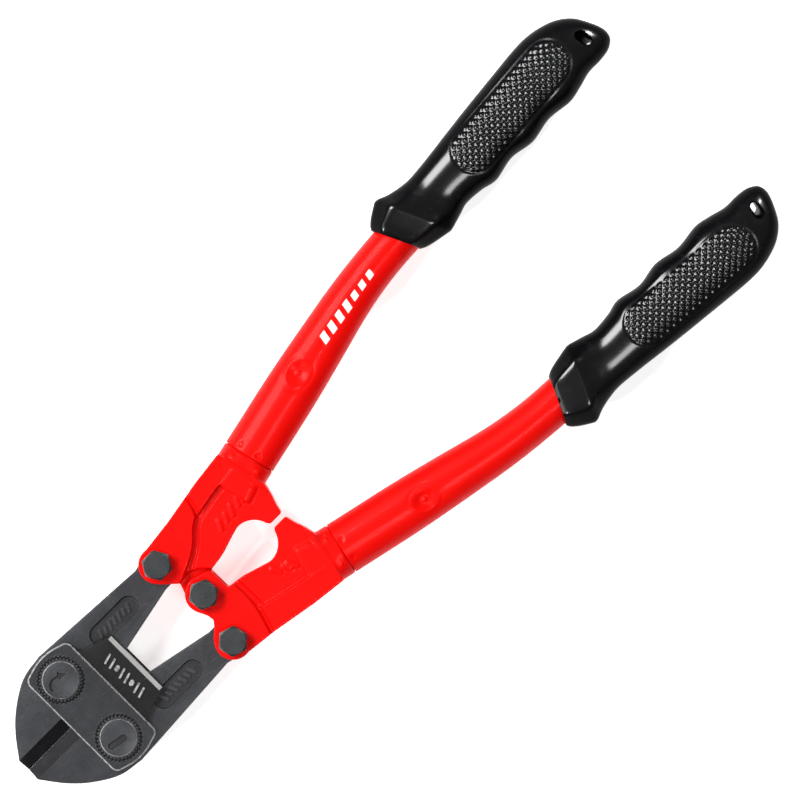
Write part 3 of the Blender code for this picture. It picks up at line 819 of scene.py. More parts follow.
@dataclass
class ToolFrame:
    """Where the tool's own frame lies in the row frame, and its pivots and levels in it."""

    looks: dict["Finish", Material]
    origin: Vector
    adjuster: Vector
    jaw_pivot: Vector
    jaw_bolt: Vector
    centre_bolt: Vector
    jaw_half: float
    strap_level: float
    ear_level: float
    bolt_end: float

    @classmethod
    def of(cls, joints: Sequence[dict[str, Any]], looks: dict["Finish", Material]) -> "ToolFrame":
        """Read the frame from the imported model.

        Args:
            joints: The record's joints.
            looks: Each finish's material.

        Returns:
            The tool's frame.
        """
        upper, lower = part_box("adjusting_bolt_upper"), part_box("adjusting_bolt_lower")
        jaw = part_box("jaw_upper")
        corners = (upper[0].x + upper[1].x, upper[0].y + lower[1].y, jaw[0].z + jaw[1].z)
        origin = Vector([total / 2 for total in corners])

        def local(place: Sequence[float]) -> Vector:
            """Return a place in the tool's frame, in millimetres."""
            return (Vector(place) - origin) * 1000

        def middle(node: str) -> Vector:
            """Return the middle of a node's box in the tool's frame."""
            low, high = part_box(node)
            return local((low + high) / 2)

        pivots = {joint["name"]: local(joint["pos_m"]) for joint in joints}
        return cls(
            looks=looks,
            origin=origin,
            adjuster=middle("adjusting_bolt_upper"),
            jaw_pivot=pivots["jaw_upper_hinge"],
            jaw_bolt=pivots["handle_upper_hinge"],
            centre_bolt=middle("centre_bolt"),
            jaw_half=local(jaw[1]).z,
            strap_level=local(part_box("strap_front")[1]).z,
            ear_level=local(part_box("arm_upper")[1]).z,
            bolt_end=-local(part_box("centre_bolt")[0]).z,
        )

    def adjuster_on(self, part: Part) -> Vector:
        """Return the middle of one half's adjusting bolt."""
        return self.adjuster * Vector((1, part.value, 1))

    def finishes(self, *names: "Finish") -> list[Material]:
        """Return the materials of some finishes."""
        return [self.looks[name] for name in names]

    def set_down(
        self,
        name: str,
        mesh: bpy.types.Mesh,
        body: str,
        finish_slot: str,
        materials: Sequence[Material],
        crease: float = 32.0,
    ) -> bpy.types.Object:
        """Put a finished mesh in its place on the tool.

        Args:
            name: The CAD node that it stands for; the piece is called NAME_detail.
            mesh: The mesh, in millimetres of the tool's frame.
            body: The CAD body that it rides on.
            finish_slot: The record's material slot; not used.
            materials: The mesh's materials, in order.
            crease: The angle over which an edge is shown sharp, in degrees.

        Returns:
            The piece.
        """
        mesh.name = f"{name}_detail"
        mesh.transform(Matrix.Translation(self.origin) @ Matrix.Scale(0.001, 4))
        indices = [face.material_index for face in mesh.polygons]
        mesh.materials.clear()
        for material in materials:
            mesh.materials.append(material)
        mesh.polygons.foreach_set("material_index", indices)
        mesh.shade_smooth()
        mesh.set_sharp_from_angle(angle=math.radians(crease))
        piece = bpy.data.objects.new(f"{name}_detail", mesh)
        bpy.context.scene.collection.objects.link(piece)
        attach(piece, body)
        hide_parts(name)
        log.info("%s: %d faces on %s", name, len(mesh.polygons), body)
        return piece


def repaint(
    mesh: bpy.types.Mesh, index: int, chosen: Callable[[Vector, Vector], bool]
) -> bpy.types.Mesh:
    """Give some faces another of the mesh's materials.

    Args:
        mesh: The mesh.
        index: The material's place in the list.
        chosen: Says from a face's centre and normal whether it is one of them.

    Returns:
        The mesh.
    """
    for face in mesh.polygons:
        if chosen(face.center, face.normal):
            face.material_index = index
    return mesh


# ---------------------------------------------------------------- the head


@dataclass
class Jaw:
    """A forged jaw: curved back, ground cutting bevels, bored eye and marked sunk panels."""

    tool: ToolFrame
    part: Part
    tip_reach: float = 30.0
    half_width: float = 25.0
    bevel_width: float = 4.6
    edge_gap: float = 0.02
    edge_land: float = 0.3
    heel_lift: float = 0.9
    heel_slope: float = 11.5
    heel_drop: float = 2.45
    heel_radius: float = 5.5
    eye_radius: float = 5.6
    journal: float = 5.3
    bolt_hole: float = 3.3
    rim: float = 0.45
    panel_radius: float = 3.5
    panel_length: float = 14.0
    panel_depth: float = 0.9
    bevel_end: float = -8.2

    def outline(self) -> Outline:
        """Draw the jaw from the front.

        Returns:
            Its closed outline, anticlockwise.
        """
        edge = self.edge_gap / 2
        bolt = self.tool.jaw_bolt
        heel = (bolt.x - 0.5, bolt.y - self.heel_drop)
        low = heel[1] - self.heel_radius
        turn = (low - self.heel_lift) / math.tan(math.radians(self.heel_slope))
        inner = [(-self.tip_reach, edge), (-4.0, edge), (0.0, self.heel_lift), (turn, low)]
        tail = arc(heel, self.heel_radius, -90, 0, 10)[1:]
        tail += arc(bolt, self.eye_radius, 0, 105, 14)
        shares = ((1, 1), (0.70, 0.922), (0.417, 0.676), (0.20, 0.382), (0, 0))
        rise = self.half_width - self.bevel_width
        back = [(-self.tip_reach * (1 - t), self.bevel_width + rise * up) for t, up in shares]
        neck = spline([(bolt.x - 6.8, bolt.y + 4.0), back[0]], 6)[:-1]
        return inner + tail + neck + spline(back, 9)

    def wedge(self, front: int) -> Solid:
        """Make what grinding takes off one face.

        Args:
            front: 1 for the front face and -1 for the back.

        Returns:
            The solid to cut away.
        """
        edge = Vector((self.edge_gap / 2, self.edge_land))
        slope = Vector((self.bevel_width, self.tool.jaw_half - self.edge_land))
        low, high = edge - slope * 0.2, edge + slope * 1.2
        section = [low, high, Vector((low.x, high.y))]
        ends = (-self.tip_reach - 1, self.bevel_end)
        return skin([[(x, y, z * front) for y, z in section] for x in ends])

    def panel_middle(self) -> Point:
        """Return the middle of the tail's sunk panel."""
        bolt = self.tool.jaw_bolt
        return ((self.tool.jaw_pivot.x + bolt.x) / 2 + 1.7, bolt.y - 2.9)

    def marks(self, front: int) -> list[Solid]:
        """Make a plain row of slanted ticks on a panel's floor.

        Args:
            front: 1 for the front face and -1 for the back.

        Returns:
            The ticks.
        """
        x, y = self.panel_middle()
        floor = front * (self.tool.jaw_half - self.panel_depth)
        ticks = []
        for i in range(7):
            foot = slot((x - 6.6 + 2.2 * i, y - 0.1), 0.5, 2.6 - 0.7 * (i % 2), 68)
            ticks.append(drafted(foot, floor - front * 0.2, floor + front * 0.65, -0.15))
        return ticks

    def build(self) -> None:
        """Make the jaw and put it in place."""
        half = self.tool.jaw_half
        blank = Blank(rounded(self.outline(), -half, half, self.rim), self.part.value)
        for front in (1, -1):
            blank.cut(self.wedge(front))
            foot = slot(self.panel_middle(), self.panel_radius - 0.35, self.panel_length)
            floor = front * (half - self.panel_depth)
            blank.cut(drafted(foot, floor, floor + front * 1.5, 0.8))
            blank.join(*self.marks(front))
        blank.cut(prism(circle(self.tool.jaw_pivot, self.journal), -FAR, FAR))
        blank.cut(prism(circle(self.tool.jaw_bolt, self.bolt_hole), -FAR, FAR))
        mesh = repaint(
            blank.mesh(),
            1,
            lambda centre, normal: abs(centre.y) < self.bevel_width
            and centre.x < self.bevel_end + 0.2
            and 0.4 < abs(normal.z) < 0.9
            and abs(normal.x) < 0.05,
        )
        # The sunk panels' floors take the darker recess steel: painted shade in the recess.
        floor = half - self.panel_depth
        middle = self.panel_middle()[0]
        reach = self.panel_length / 2 + 5.0
        repaint(mesh, 2, lambda c, n: abs(abs(c.z) - floor) < 0.02 and abs(c.x - middle) < reach)
        name = f"jaw_{self.part.tag}"
        finishes = self.tool.finishes(Finish.JAW, Finish.BEVEL, Finish.RECESS)
        self.tool.set_down(name, mesh, name, "jaw_steel", finishes, 24)


@dataclass
class Strap:
    """A pressed strap: pale chamfers (partly wear, partly a painted highlight), and a stepped
    tongue with raised bars and a ground end.
    """

    tool: ToolFrame
    front: int
    thickness: float = 3.5
    front_reach: float = 9.2
    back_reach: float = 10.9
    half_width: float = 24.0
    bow: float = 1.4
    corner: float = 3.0
    chamfer: float = 0.5
    tongue_reach: float = 22.9
    tongue_half_width: float = 12.9
    tongue_thickness: float = 1.8
    bar_width: float = 1.9
    bar_rise: float = 0.7
    bore: float = 4.3
    sink_radius: float = 8.0
    sink_depth: float = 1.5

    def outline(self) -> Outline:
        """Draw the plate.

        Returns:
            Its closed outline, anticlockwise.
        """
        middle = (self.back_reach - self.front_reach) / 2
        flat = (self.back_reach + self.front_reach) / 2 - self.corner
        shoulder = self.half_width - self.bow - self.corner
        right = arc((middle + flat, shoulder), self.corner, 0, 65, 8)
        shares = [i / 6 for i in (4, 3, 2, 1, 0)]
        top = [(middle + flat * t, self.half_width - self.bow * t**2) for t in shares]
        quarter = right + top
        upper = quarter + [(2 * middle - x, y) for x, y in quarter[-2::-1]]
        return upper + [(x, -y) for x, y in upper[::-1]]

    def tongue(self) -> Outline:
        """Draw the tongue.

        Returns:
            Its closed outline, anticlockwise.
        """
        root = self.back_reach
        points = [(root - 1.0, 17.4), (root + 0.9, 16.4), (root + 3.2, 15.1), (18.5, 13.9)]
        side = spline([*points, (self.tongue_reach - 1.2, self.tongue_half_width)], 5)
        side.append((self.tongue_reach, self.tongue_half_width - 0.4))
        return [(x, -y) for x, y in side] + side[::-1]

    def bars(self) -> list[Outline]:
        """Return the tongue's raised marks: a plain row of bars and dots."""
        bars = [slot((16.3, y), 0.55, 3.3, 16) for y in (-8.6, -6.3, -1.6, 0.7, 5.4, 7.7)]
        return bars + [slot((16.3, y), 0.95, 0.8, 16) for y in (-3.9, 3.1)]

    def build(self) -> None:
        """Make the strap and put it in place."""
        top = self.tool.strap_level
        under = top - self.thickness
        tongue_top = under + self.tongue_thickness
        blank = Blank(rounded(self.outline(), under, top, self.chamfer, 1))
        blank.join(rounded(self.tongue(), under, tongue_top, 0.3))
        bar_top = tongue_top + self.bar_rise
        half = self.tongue_half_width - 0.4
        low = self.tongue_reach - self.bar_width
        bar = [(low, -half), (self.tongue_reach, -half), (self.tongue_reach, half), (low, half)]
        blank.join(drafted(bar, under + 0.5, bar_top, -0.18))
        for mark in self.bars():
            blank.join(drafted(mark, tongue_top - 0.3, tongue_top + 0.45, -0.2))
        for side in (1, -1):
            centre = (self.tool.adjuster.x, self.tool.adjuster.y * side)
            blank.cut(prism(circle(centre, self.bore), 0, FAR))
            if self.front > 0:
                teeth = toothed(centre, self.sink_radius, self.sink_radius + 0.45, 36)
                blank.cut(prism(teeth, top - self.sink_depth, FAR))
        mesh = blank.mesh()
        repaint(mesh, 3, lambda c, n: c.x > self.back_reach + 0.01 and c.z < tongue_top + 0.01)
        # The chamfers take the pale rubbed steel: partly wear, partly a painted highlight on the
        # rims.
        repaint(mesh, 1, lambda c, n: c.z > top - self.chamfer and 0.3 < n.z < 0.9)
        repaint(mesh, 1, lambda c, n: c.x > self.back_reach + 0.5 and c.z > tongue_top + 0.40)
        repaint(mesh, 2, lambda c, n: c.x > low - 0.3 and c.z > tongue_top + 0.2)
        if self.front < 0:
            mesh.transform(Matrix.Scale(-1, 4, (0, 0, 1)))
            mesh.flip_normals()
        name = "strap_front" if self.front > 0 else "strap_back"
        looks = (Finish.STRAP, Finish.WORN, Finish.GROUND, Finish.TONGUE)
        self.tool.set_down(name, mesh, "straps", "strap_steel", self.tool.finishes(*looks), 24)


# ---------------------------------------------------------------- fasteners


@dataclass
class AdjustingBolt:
    """A bolt with an eccentric journal, a round head on a serrated rim and a sunk mark."""

    tool: ToolFrame
    part: Part
    shank: float = 4.0
    journal: float = 5.0
    head: float = 6.5
    rim: float = 7.7
    rim_height: float = 1.0
    rise: float = 1.4
    floor_drop: float = 1.2
    chamfer: float = 0.6
    teeth: int = 36
    mark_depth: float = 0.7

    def mark(self) -> list[Outline]:
        """Draw the head's sunk mark: a bent arrow on the upper bolt, a bar on the lower.

        Returns:
            Its outlines.
        """
        x, y = self.tool.adjuster.x, self.tool.adjuster.y
        if self.part is Part.UPPER:
            bend = spline([(-4.7, -0.9), (-3.9, 0.9), (-2.2, 1.9), (0.4, 1.5)], 6)
            head = [(3.1, 0.1), (0.9, 3.1), (-0.4, 0.3)]
            return [[(x + u, y + v) for u, v in shape] for shape in (band(bend, 1.2), head)]
        return [slot((x - 1.2, y + 0.8), 1.35, 5.0, 10)]

    def rings(self) -> list[Ring]:
        """Draw the bolt from its thread's end to its head's rounded rim.

        Returns:
            Its rings, each with four points to a tooth.
        """
        centre, journal, half = self.tool.adjuster, self.tool.jaw_pivot, self.tool.jaw_half
        end, top = -self.tool.bolt_end, self.tool.strap_level + self.rise
        floor = self.tool.strap_level - self.floor_drop
        shelf = floor + self.rim_height

        def ring(radius: float, z: float, middle: Vector = centre) -> Ring:
            """Return a plain ring of the bolt."""
            return at_level(circle(middle, radius, self.teeth * 4), z)

        def rim(root: float, z: float, inset: float = 0.0) -> Ring:
            """Return a ring of the serrated rim, by how far its roots and tips are inside it."""
            return at_level(toothed(centre, self.rim - root, self.rim - inset, self.teeth), z)

        rings = [ring(self.shank - 0.5, end)]
        rings += [ring(self.shank - 0.28 * (i % 2), end + 0.4 + 0.5 * i) for i in range(7)]
        rings += [ring(self.shank, -half), ring(self.journal, -half, journal)]
        rings += [ring(self.journal, half, journal), ring(self.shank, half)]
        rings += [ring(self.shank, floor), rim(0.7, floor), rim(0.7, shelf - 0.25)]
        rings += [rim(0.9, shelf, 0.3), ring(self.head, shelf), ring(self.head, top - self.chamfer)]
        for share in (0.35, 0.7, 1.0):
            turn = math.pi / 2 * share
            inset, drop = self.chamfer * (1 - math.cos(turn)), self.chamfer * (1 - math.sin(turn))
            rings.append(ring(self.head - inset, top - drop))
        return rings

    def build(self) -> None:
        """Make the bolt and put it in place."""
        top = self.tool.strap_level + self.rise
        middle = self.tool.adjuster_on(self.part)
        blank = Blank(skin(self.rings()), self.part.value)
        blank.cut(*[prism(shape, top - self.mark_depth, FAR) for shape in self.mark()])
        # The head's chamfer takes the pale rubbed steel: partly wear, partly a painted highlight on
        # its rim.
        mesh = repaint(blank.mesh(), 1, lambda c, n: c.z > top - self.chamfer and 0.1 < n.z < 0.97)

        def in_mark(centre: Vector, normal: Vector) -> bool:
            """Say whether a face is the mark's floor or wall."""
            near = (centre - middle).xy.length < self.head - 0.9
            return near and top - self.mark_depth - 0.05 < centre.z < top - 0.05

        name = f"adjusting_bolt_{self.part.tag}"
        finishes = self.tool.finishes(Finish.ADJUSTER, Finish.WORN, Finish.RECESS)
        # The sunk mark's floor and walls take the darker recess steel: painted shade in the mark.
        repaint(mesh, 2, in_mark)
        self.tool.set_down(name, mesh, "straps", "adjuster_steel", finishes, 28)


@dataclass
class HexFastener:
    """Sizes and shapes that hex bolts, nuts and their rings share."""

    tool: ToolFrame
    part: Part
    name: str
    body: str
    centre: Vector
    flats: float = 9.3
    phase: float = 0.0
    gap: float = 0.3

    def crown(self, base: float, top: float, sides: int = 96) -> list[Ring]:
        """Make the rings of a hex with its corners turned off by a 30 degree cone.

        Args:
            base: The level of the hex's bearing face.
            top: The level of its crowned face.
            sides: How many points a ring has.

        Returns:
            The rings from the base to the crown's flat.
        """
        up = 1 if top > base else -1
        flat = self.flats / 2 * 0.95
        outline = hexagon(self.centre, self.flats, self.phase, sides)
        turned = []
        for x, y in outline:
            reach = math.hypot(x - self.centre.x, y - self.centre.y)
            turned.append((x, y, top - up * max(reach - flat, 0.0) * math.tan(math.radians(30))))
        bearing = at_level(offset(outline, -0.15), base)
        return [bearing, at_level(outline, base + up * 0.15), turned, self.ring(flat, top)]

    def ring(self, radius: float, z: float, sides: int = 96) -> Ring:
        """Return a plain ring that meets the hex's own points."""
        turns = [360 * i / sides + self.phase for i in range(sides)]
        return [(*polar(self.centre, radius, turn), z) for turn in turns]

    def finish(self, rings: Sequence[Ring], slot_name: str, look: "Finish", crease: float) -> None:
        """Put a turned piece in its place, closed on itself unless it is a bolt."""
        mesh = Blank(skin(rings, not isinstance(self, HexBolt)), self.part.value).mesh()
        self.tool.set_down(self.name, mesh, self.body, slot_name, self.tool.finishes(look), crease)


@dataclass
class HexBolt(HexFastener):
    """A hex bolt from over the front ear to past its nut, with a cut thread."""

    radius: float = 3.0
    height: float = 4.0
    pitch: float = 1.0

    def build(self) -> None:
        """Make the bolt and put it in place."""
        end = -self.tool.bolt_end
        under = self.tool.ear_level + self.gap
        rings = [self.ring(self.radius - 0.45, end)]
        for i in range(11):
            rings.append(self.ring(self.radius - 0.25 * (i % 2), end + 0.35 + self.pitch / 2 * i))
        rings.append(self.ring(self.radius, under))
        crown = self.crown(under, under + self.height)
        self.finish(rings + crown, "bolt_steel", Finish.BOLT, 18)


@dataclass
class LockNut(HexFastener):
    """A hex nut with the round collar that holds a nylon ring."""

    bore: float = 3.3
    height: float = 3.4
    ring_height: float = 1.0
    ring_wall: float = 0.5
    collar_wall: float = 0.4

    def build(self) -> None:
        """Make the nut and put it in place."""
        top = -self.tool.ear_level - self.gap
        bottom = top - self.height
        shoulder = bottom + self.ring_height + self.gap
        housing = self.bore + self.ring_wall + self.gap
        outer = housing + self.collar_wall
        rings = self.crown(top, shoulder)[:-1]
        rings += [self.ring(outer, shoulder), self.ring(outer, bottom + 0.2)]
        rings += [self.ring(outer - 0.2, bottom)]
        rings += [self.ring(housing, bottom), self.ring(housing, shoulder)]
        rings += [self.ring(self.bore, shoulder), self.ring(self.bore, top)]
        self.finish(rings, "bolt_steel", Finish.BOLT, 18)


@dataclass
class LockRing(HexFastener):
    """The nylon ring in a lock nut's collar, with eased corners."""

    bore: float = 3.3
    wall: float = 0.5
    height: float = 1.0
    nut_height: float = 3.4

    def build(self) -> None:
        """Make the ring and put it in place."""
        low = -self.tool.ear_level - self.gap - self.nut_height
        inner, outer, ease = self.bore, self.bore + self.wall, 0.12
        corners = [(outer - ease, low), (outer, low + ease), (outer, low + self.height)]
        corners += [(inner, low + self.height), (inner, low + ease), (inner + ease, low)]
        rings = [self.ring(radius, z) for radius, z in corners]
        self.finish(rings, "nylon", Finish.NYLON, 60)


@dataclass
class AdjustingNut(HexFastener):
    """A plain hex nut that bears on the back strap."""

    flats: float = 13.0
    bore: float = 4.3
    height: float = 3.4

    def build(self) -> None:
        """Make the nut and put it in place."""
        top = -self.tool.strap_level - self.gap
        bottom = top - self.height
        rings = self.crown(top, bottom)
        rings += [self.ring(self.bore + 0.4, bottom), self.ring(self.bore, bottom + 0.4)]
        rings += [self.ring(self.bore, top)]
        self.finish(rings, "adjuster_steel", Finish.ADJUSTER, 30)


# ---------------------------------------------------------------- the handles


@dataclass
class HandlePath:
    """The line that an arm's neck, its tube and its grip follow, from the arm's seam."""

    seam: Point
    slope: float = 12.5
    grip_slope: float = 2.2
    bend_start: float = 57.0
    bend_radius: float = 200.0
    seam_width: float = 19.0
    seam_depth: float = 15.6
    end_width: float = 15.2
    taper_start: float = 20.0
    taper_end: float = 85.0
    grip_start: float = 90.4

    def at(self, s: float) -> tuple[Vector, Vector, Vector]:
        """Find a place on the line.

        Args:
            s: Its distance from the seam.

        Returns:
            The point, the direction ahead and the direction across, to the outside.
        """
        turn = math.radians(self.slope - self.grip_slope)
        bent = min(max(s - self.bend_start, 0.0), self.bend_radius * turn)
        now = math.radians(self.slope) - bent / self.bend_radius
        chord = 2 * self.bend_radius * math.sin(bent / self.bend_radius / 2)
        point = Vector(self.seam) + min(s, self.bend_start) * heading(math.radians(self.slope))
        point += chord * heading((math.radians(self.slope) + now) / 2)
        beyond = max(s - self.bend_start - self.bend_radius * turn, 0.0)
        point += beyond * heading(math.radians(self.grip_slope))
        ahead = heading(now)
        return point, ahead, Vector((-ahead.y, ahead.x))

    def section(self, s: float) -> Point:
        """Find half the tube's width and half its depth.

        Args:
            s: The place's distance from the seam.

        Returns:
            The half width and the half depth.
        """
        t = min(max((s - self.taper_start) / (self.taper_end - self.taper_start), 0.0), 1.0)
        share = t * t * (3 - 2 * t)
        width = self.seam_width + (self.end_width - self.seam_width) * share
        return width / 2, (self.seam_depth + (self.end_width - self.seam_depth) * share) / 2

    def lay(self, s: float, points: Sequence[Point], lean: float = 0.0) -> Ring:
        """Lay a section across the line.

        Args:
            s: Its distance from the seam.
            points: Its points' reach across and level.
            lean: How far back it leans for each millimetre across.

        Returns:
            The ring.
        """
        point, ahead, across = self.at(s)
        places = [(point + across * reach - ahead * reach * lean, level) for reach, level in points]
        return [(place.x, place.y, level) for place, level in places]

    def oval(self, s: float, inset: float = 0.0, sides: int = 72) -> Ring:
        """Draw the tube's section.

        Args:
            s: Its distance from the seam.
            inset: How far inside the tube's skin it lies.
            sides: How many points it has.

        Returns:
            The ring.
        """
        point, _, across = self.at(s)
        wide, deep = self.section(s)
        ring = []
        for i in range(sides):
            turn = 2 * math.pi * i / sides
            place = point + across * (wide - inset) * math.cos(turn)
            ring.append((place.x, place.y, (deep - inset) * math.sin(turn)))
        return ring


def heading(turn: float) -> Vector:
    """Return the unit vector of a heading in radians."""
    return Vector((math.cos(turn), math.sin(turn)))


@dataclass
class Arm:
    """A painted forging: ears or tang, window edge, stop nose, ribs and the tube's neck."""

    tool: ToolFrame
    part: Part
    path: HandlePath
    slot_level: float = 4.5
    tang_half: float = 4.2
    step_level: float = 6.5
    ear_radius: float = 6.5
    tang_radius: float = 6.0
    play: float = 1.75
    pocket_gap: float = 0.4
    bolt_hole: float = 3.3
    window_radius: float = 8.1
    window_x: float = 24.4
    root_start: float = -4.5
    jaw_tail_reach: float = 7.95
    voxel: float = 0.36

    def from_jaw_bolt(self, x: float, y: float) -> Point:
        """Return a point given from the jaw bolt."""
        return (self.tool.jaw_bolt.x + x, self.tool.jaw_bolt.y + y)

    def from_centre(self, x: float, y: float) -> Point:
        """Return a point given from the centre bolt."""
        return (self.tool.centre_bolt.x + x, y)

    def run(self, points: Sequence[Point], steps: int = 5) -> Outline:
        """Return a smooth curve through points given from the centre bolt."""
        return spline([self.from_centre(*point) for point in points], steps)

    def inner_edge(self) -> Outline:
        """Draw the edge from the centre bolt along the window to the neck's inner corner.

        Returns:
            Its points.
        """
        bow = [(7.5, 4.2), (13.4, 5.0), (18.4, 6.5)]
        window = [self.from_centre(*bow[0])] + self.run(bow, 4)[1:-1] + [self.from_centre(*bow[2])]
        window += arc(self.from_centre(self.window_x, 0), self.window_radius, 96, 15, 14)
        nose = self.from_centre(self.window_x + self.window_radius + 0.6, 0)[0]
        toe = [(nose, 0.9), (nose + 5.0, 0.9), (nose + 5.5, 1.5)]
        point, _, across = self.path.at(self.root_start)
        low = tuple(point - across * self.path.seam_width / 2)
        return window + toe[:2] + spline([toe[-1], (nose + 6.2, 4.6), (nose + 7.4, 8.0), low], 5)

    def outer_edge(self) -> Outline:
        """Draw the edge from the neck's outer corner back towards the jaw bolt.

        Returns:
            Its points.
        """
        point, _, across = self.path.at(self.root_start)
        high = tuple(point + across * self.path.seam_width / 2)
        return [high, self.from_jaw_bolt(29.0, 10.65), self.from_jaw_bolt(13.0, 7.85)]

    def outline(self) -> Outline:
        """Draw the whole arm, without its neck.

        Returns:
            Its closed outline, anticlockwise.
        """
        ear = arc(self.tool.jaw_bolt, self.ear_radius, 80, 215, 20)
        if self.part is Part.UPPER:
            waist = ((-3.7, -5.7), (-1.5, -7.7), (0.9, -10.0))
            eye = arc(self.tool.centre_bolt, self.tang_radius, 165, 350, 24)
        else:
            waist = ((-4.0, -5.5), (-1.6, -7.5), (0.3, -9.8), (0.0, -12.2))
            eye = arc(self.tool.centre_bolt, self.ear_radius, 150, 280, 20)
            eye += [self.from_centre(*p) for p in ((5.2, -5.2), (7.0, -4.4), (7.4, -3.9))]
        edges = self.inner_edge() + self.outer_edge()
        return edges + ear + [self.from_jaw_bolt(*p) for p in waist] + eye

    def fork(self) -> Outline:
        """Draw the room between the ears for the jaw's tail.

        Returns:
            Its closed outline.
        """
        reach = self.jaw_tail_reach + self.pocket_gap
        way_out = 124.0
        end = arc(self.tool.jaw_bolt, reach, -90, way_out - 90, 14)
        exit_corner = polar(end[-1], 12.0, way_out)
        far = [self.from_jaw_bolt(-2 * reach, y) for y in (12.0, -reach)]
        return end + [exit_corner] + far

    def tang_slot(self) -> Outline:
        """Draw the room between the lower arm's ears for the upper arm's tang.

        Returns:
            Its closed outline.
        """
        reach = self.tang_radius + self.play + self.pocket_gap
        corners = ((-reach, -12.0), (1.5 * reach, -12.0), (1.5 * reach, 0.0))
        mouth = [self.from_centre(*p) for p in corners]
        return arc(self.tool.centre_bolt, reach, 0, 180, 24) + mouth

    def valley(self) -> Outline:
        """Draw the line of the valley beside the ears' raised plate.

        Returns:
            Its points.
        """
        if self.part is Part.UPPER:
            return self.run([(-0.4, 8.2), (4.0, 10.2), (9.4, 13.4), (13.6, 17.4), (16.8, 19.6)])
        return self.run([(10.9, 4.2), (11.2, 17.0)])

    def panel(self) -> Outline:
        """Draw the lower-lying panel between the valley and the long step.

        Returns:
            Its closed outline.
        """
        valley = self.valley()
        step = self.run([(36.8, 22.8), (38.8, 17.0), (39.8, 11.0), (41.3, 7.0)], 4)
        return valley + step + [self.from_centre(41.3, -2.0), (valley[0][0], -2.0)]

    def fold(self) -> Outline:
        """Return the long fold between the upper arm's panel and its rounded shoulder."""
        return self.run([(15.4, 18.9), (20.0, 20.0), (28.0, 21.4), (38.0, 22.8)])

    def crease(self) -> Outline:
        """Draw the groove that parts the ears' plate from the rounded shoulder.

        Returns:
            Its points.
        """
        if self.part is Part.UPPER:
            return self.run([(16.0, 18.6), (17.8, 21.2), (19.0, 24.6), (19.8, 30.0)], 4)
        return self.run([(11.2, 2.0), (10.9, 9.0), (9.9, 17.4), (6.6, 28.0)], 4)

    def shoulder_cutter(self, front: int) -> Solid:
        """Make what rounds the arm's outer edge into the tube's section.

        Args:
            front: 1 for the front rim and -1 for the back.

        Returns:
            The solid to cut away.
        """
        top = self.tool.ear_level
        across = self.path.at(0.0)[2]
        end = -27.0 if self.part is Part.UPPER else -33.5
        places = [(0.5, 9.4, 7.6), (-6.0, 9.2, 7.4), (-15.0, 8.7, 6.4), (end + 3.0, 7.2, 5.2)]
        places += [(end + 1.5, 6.0, 4.6), (end, 1.5, 1.5), (-48.0, 1.3, 1.3)]
        rings = []
        for s, width, depth in places:
            edge = self.outer_place(s)
            ring = [(*(edge + across * 3.0), top + 3.0)]
            ring.append((*(edge + across * 3.0), top - depth))
            for i in range(15):
                turn = math.pi / 2 * i / 14
                inward = width * (1 - math.cos(turn))
                ring.append((*(edge - across * inward), top - depth + depth * math.sin(turn)))
            ring.append((*(edge - across * width), top + 3.0))
            rings.append([(x, y, z * front) for x, y, z in ring])
        return skin(rings)

    def outer_place(self, s: float) -> Vector:
        """Find the arm's outer edge beside a place on the handle's line.

        Args:
            s: The place's distance from the seam.

        Returns:
            The point on the edge.
        """
        point, ahead, across = self.path.at(0.0)
        corners = [Vector(p) for p in self.outer_edge()]
        corners.insert(0, point + across * self.path.seam_width / 2)
        corners.append(Vector(polar(self.tool.jaw_bolt, self.ear_radius, 80)))
        corners.append(corners[-1] + (corners[-1] - corners[-2]).normalized() * 8)
        for high, low in zip(corners, corners[1:]):
            begin, end = (high - point).dot(ahead), (low - point).dot(ahead)
            if end <= s <= begin:
                return low + (high - low) * ((s - end) / (begin - end))
        return corners[-1]

    def ribs(self) -> list[Solid]:
        """Make the pairs of raised ribs beside the seam, and the panel's plain raised pads.

        Returns:
            The solids to join on.
        """
        solids = []
        top = self.step_level
        ribs = ((-2.2, -6.0, 6.0), (-5.0, -9.3, -0.6), (-6.6, -8.0, 0.6))
        if self.part is Part.LOWER:
            ribs = ((-2.2, -7.0, -0.5), (-2.2, 1.2, 5.0), (-4.4, -6.5, -2.5))
        for s, low, high in ribs:
            ends = [self.across_place(s, low), self.across_place(s, high)]
            rise = 1.0 if s > -3 else 0.45
            solids += [prism(band(ends, 0.5), -top - rise, top + rise)]
        if self.part is Part.UPPER:
            pads = [(20.6, 12.6), (23.8, 13.0), (27.0, 13.5), (30.4, 14.1), (33.0, 14.5)]
        else:
            pads = [(23.2, 11.8), (26.6, 13.6), (28.6, 14.2)]
        for i, pad in enumerate(pads):
            shape = slot(self.from_centre(*pad), 0.75, 3.4 - 0.7 * (i % 2), 62)
            solids += [drafted(shape, 0.0, front * (top + 0.55), -0.1) for front in (1, -1)]
        return solids

    def across_place(self, s: float, reach: float) -> Point:
        """Return the point beside the handle's line, by its distance along and across."""
        point, ahead, across = self.path.at(s) if s > 0 else self.path.at(0.0)
        return tuple(point + ahead * min(s, 0.0) + across * reach)

    def grooves(self, front: int) -> list[Solid]:
        """Make what lowers the panel and draws the lines on one face.

        Args:
            front: 1 for the front face and -1 for the back.

        Returns:
            The solids to cut away.
        """
        lines = [
            (self.panel(), self.step_level),
            (band(self.crease(), 1.8), self.tool.ear_level - 1.4),
            (band(self.valley(), 2.3), self.step_level - 0.8),
        ]
        if self.part is Part.UPPER:
            lines.append((band(self.fold(), 2.0), self.step_level - 0.7))
            clearance = self.ear_radius + self.play + 0.8
            lines.insert(0, (circle(self.tool.centre_bolt, clearance, 64), self.tang_half))
        return [prism(outline, front * level, front * FAR) for outline, level in lines]

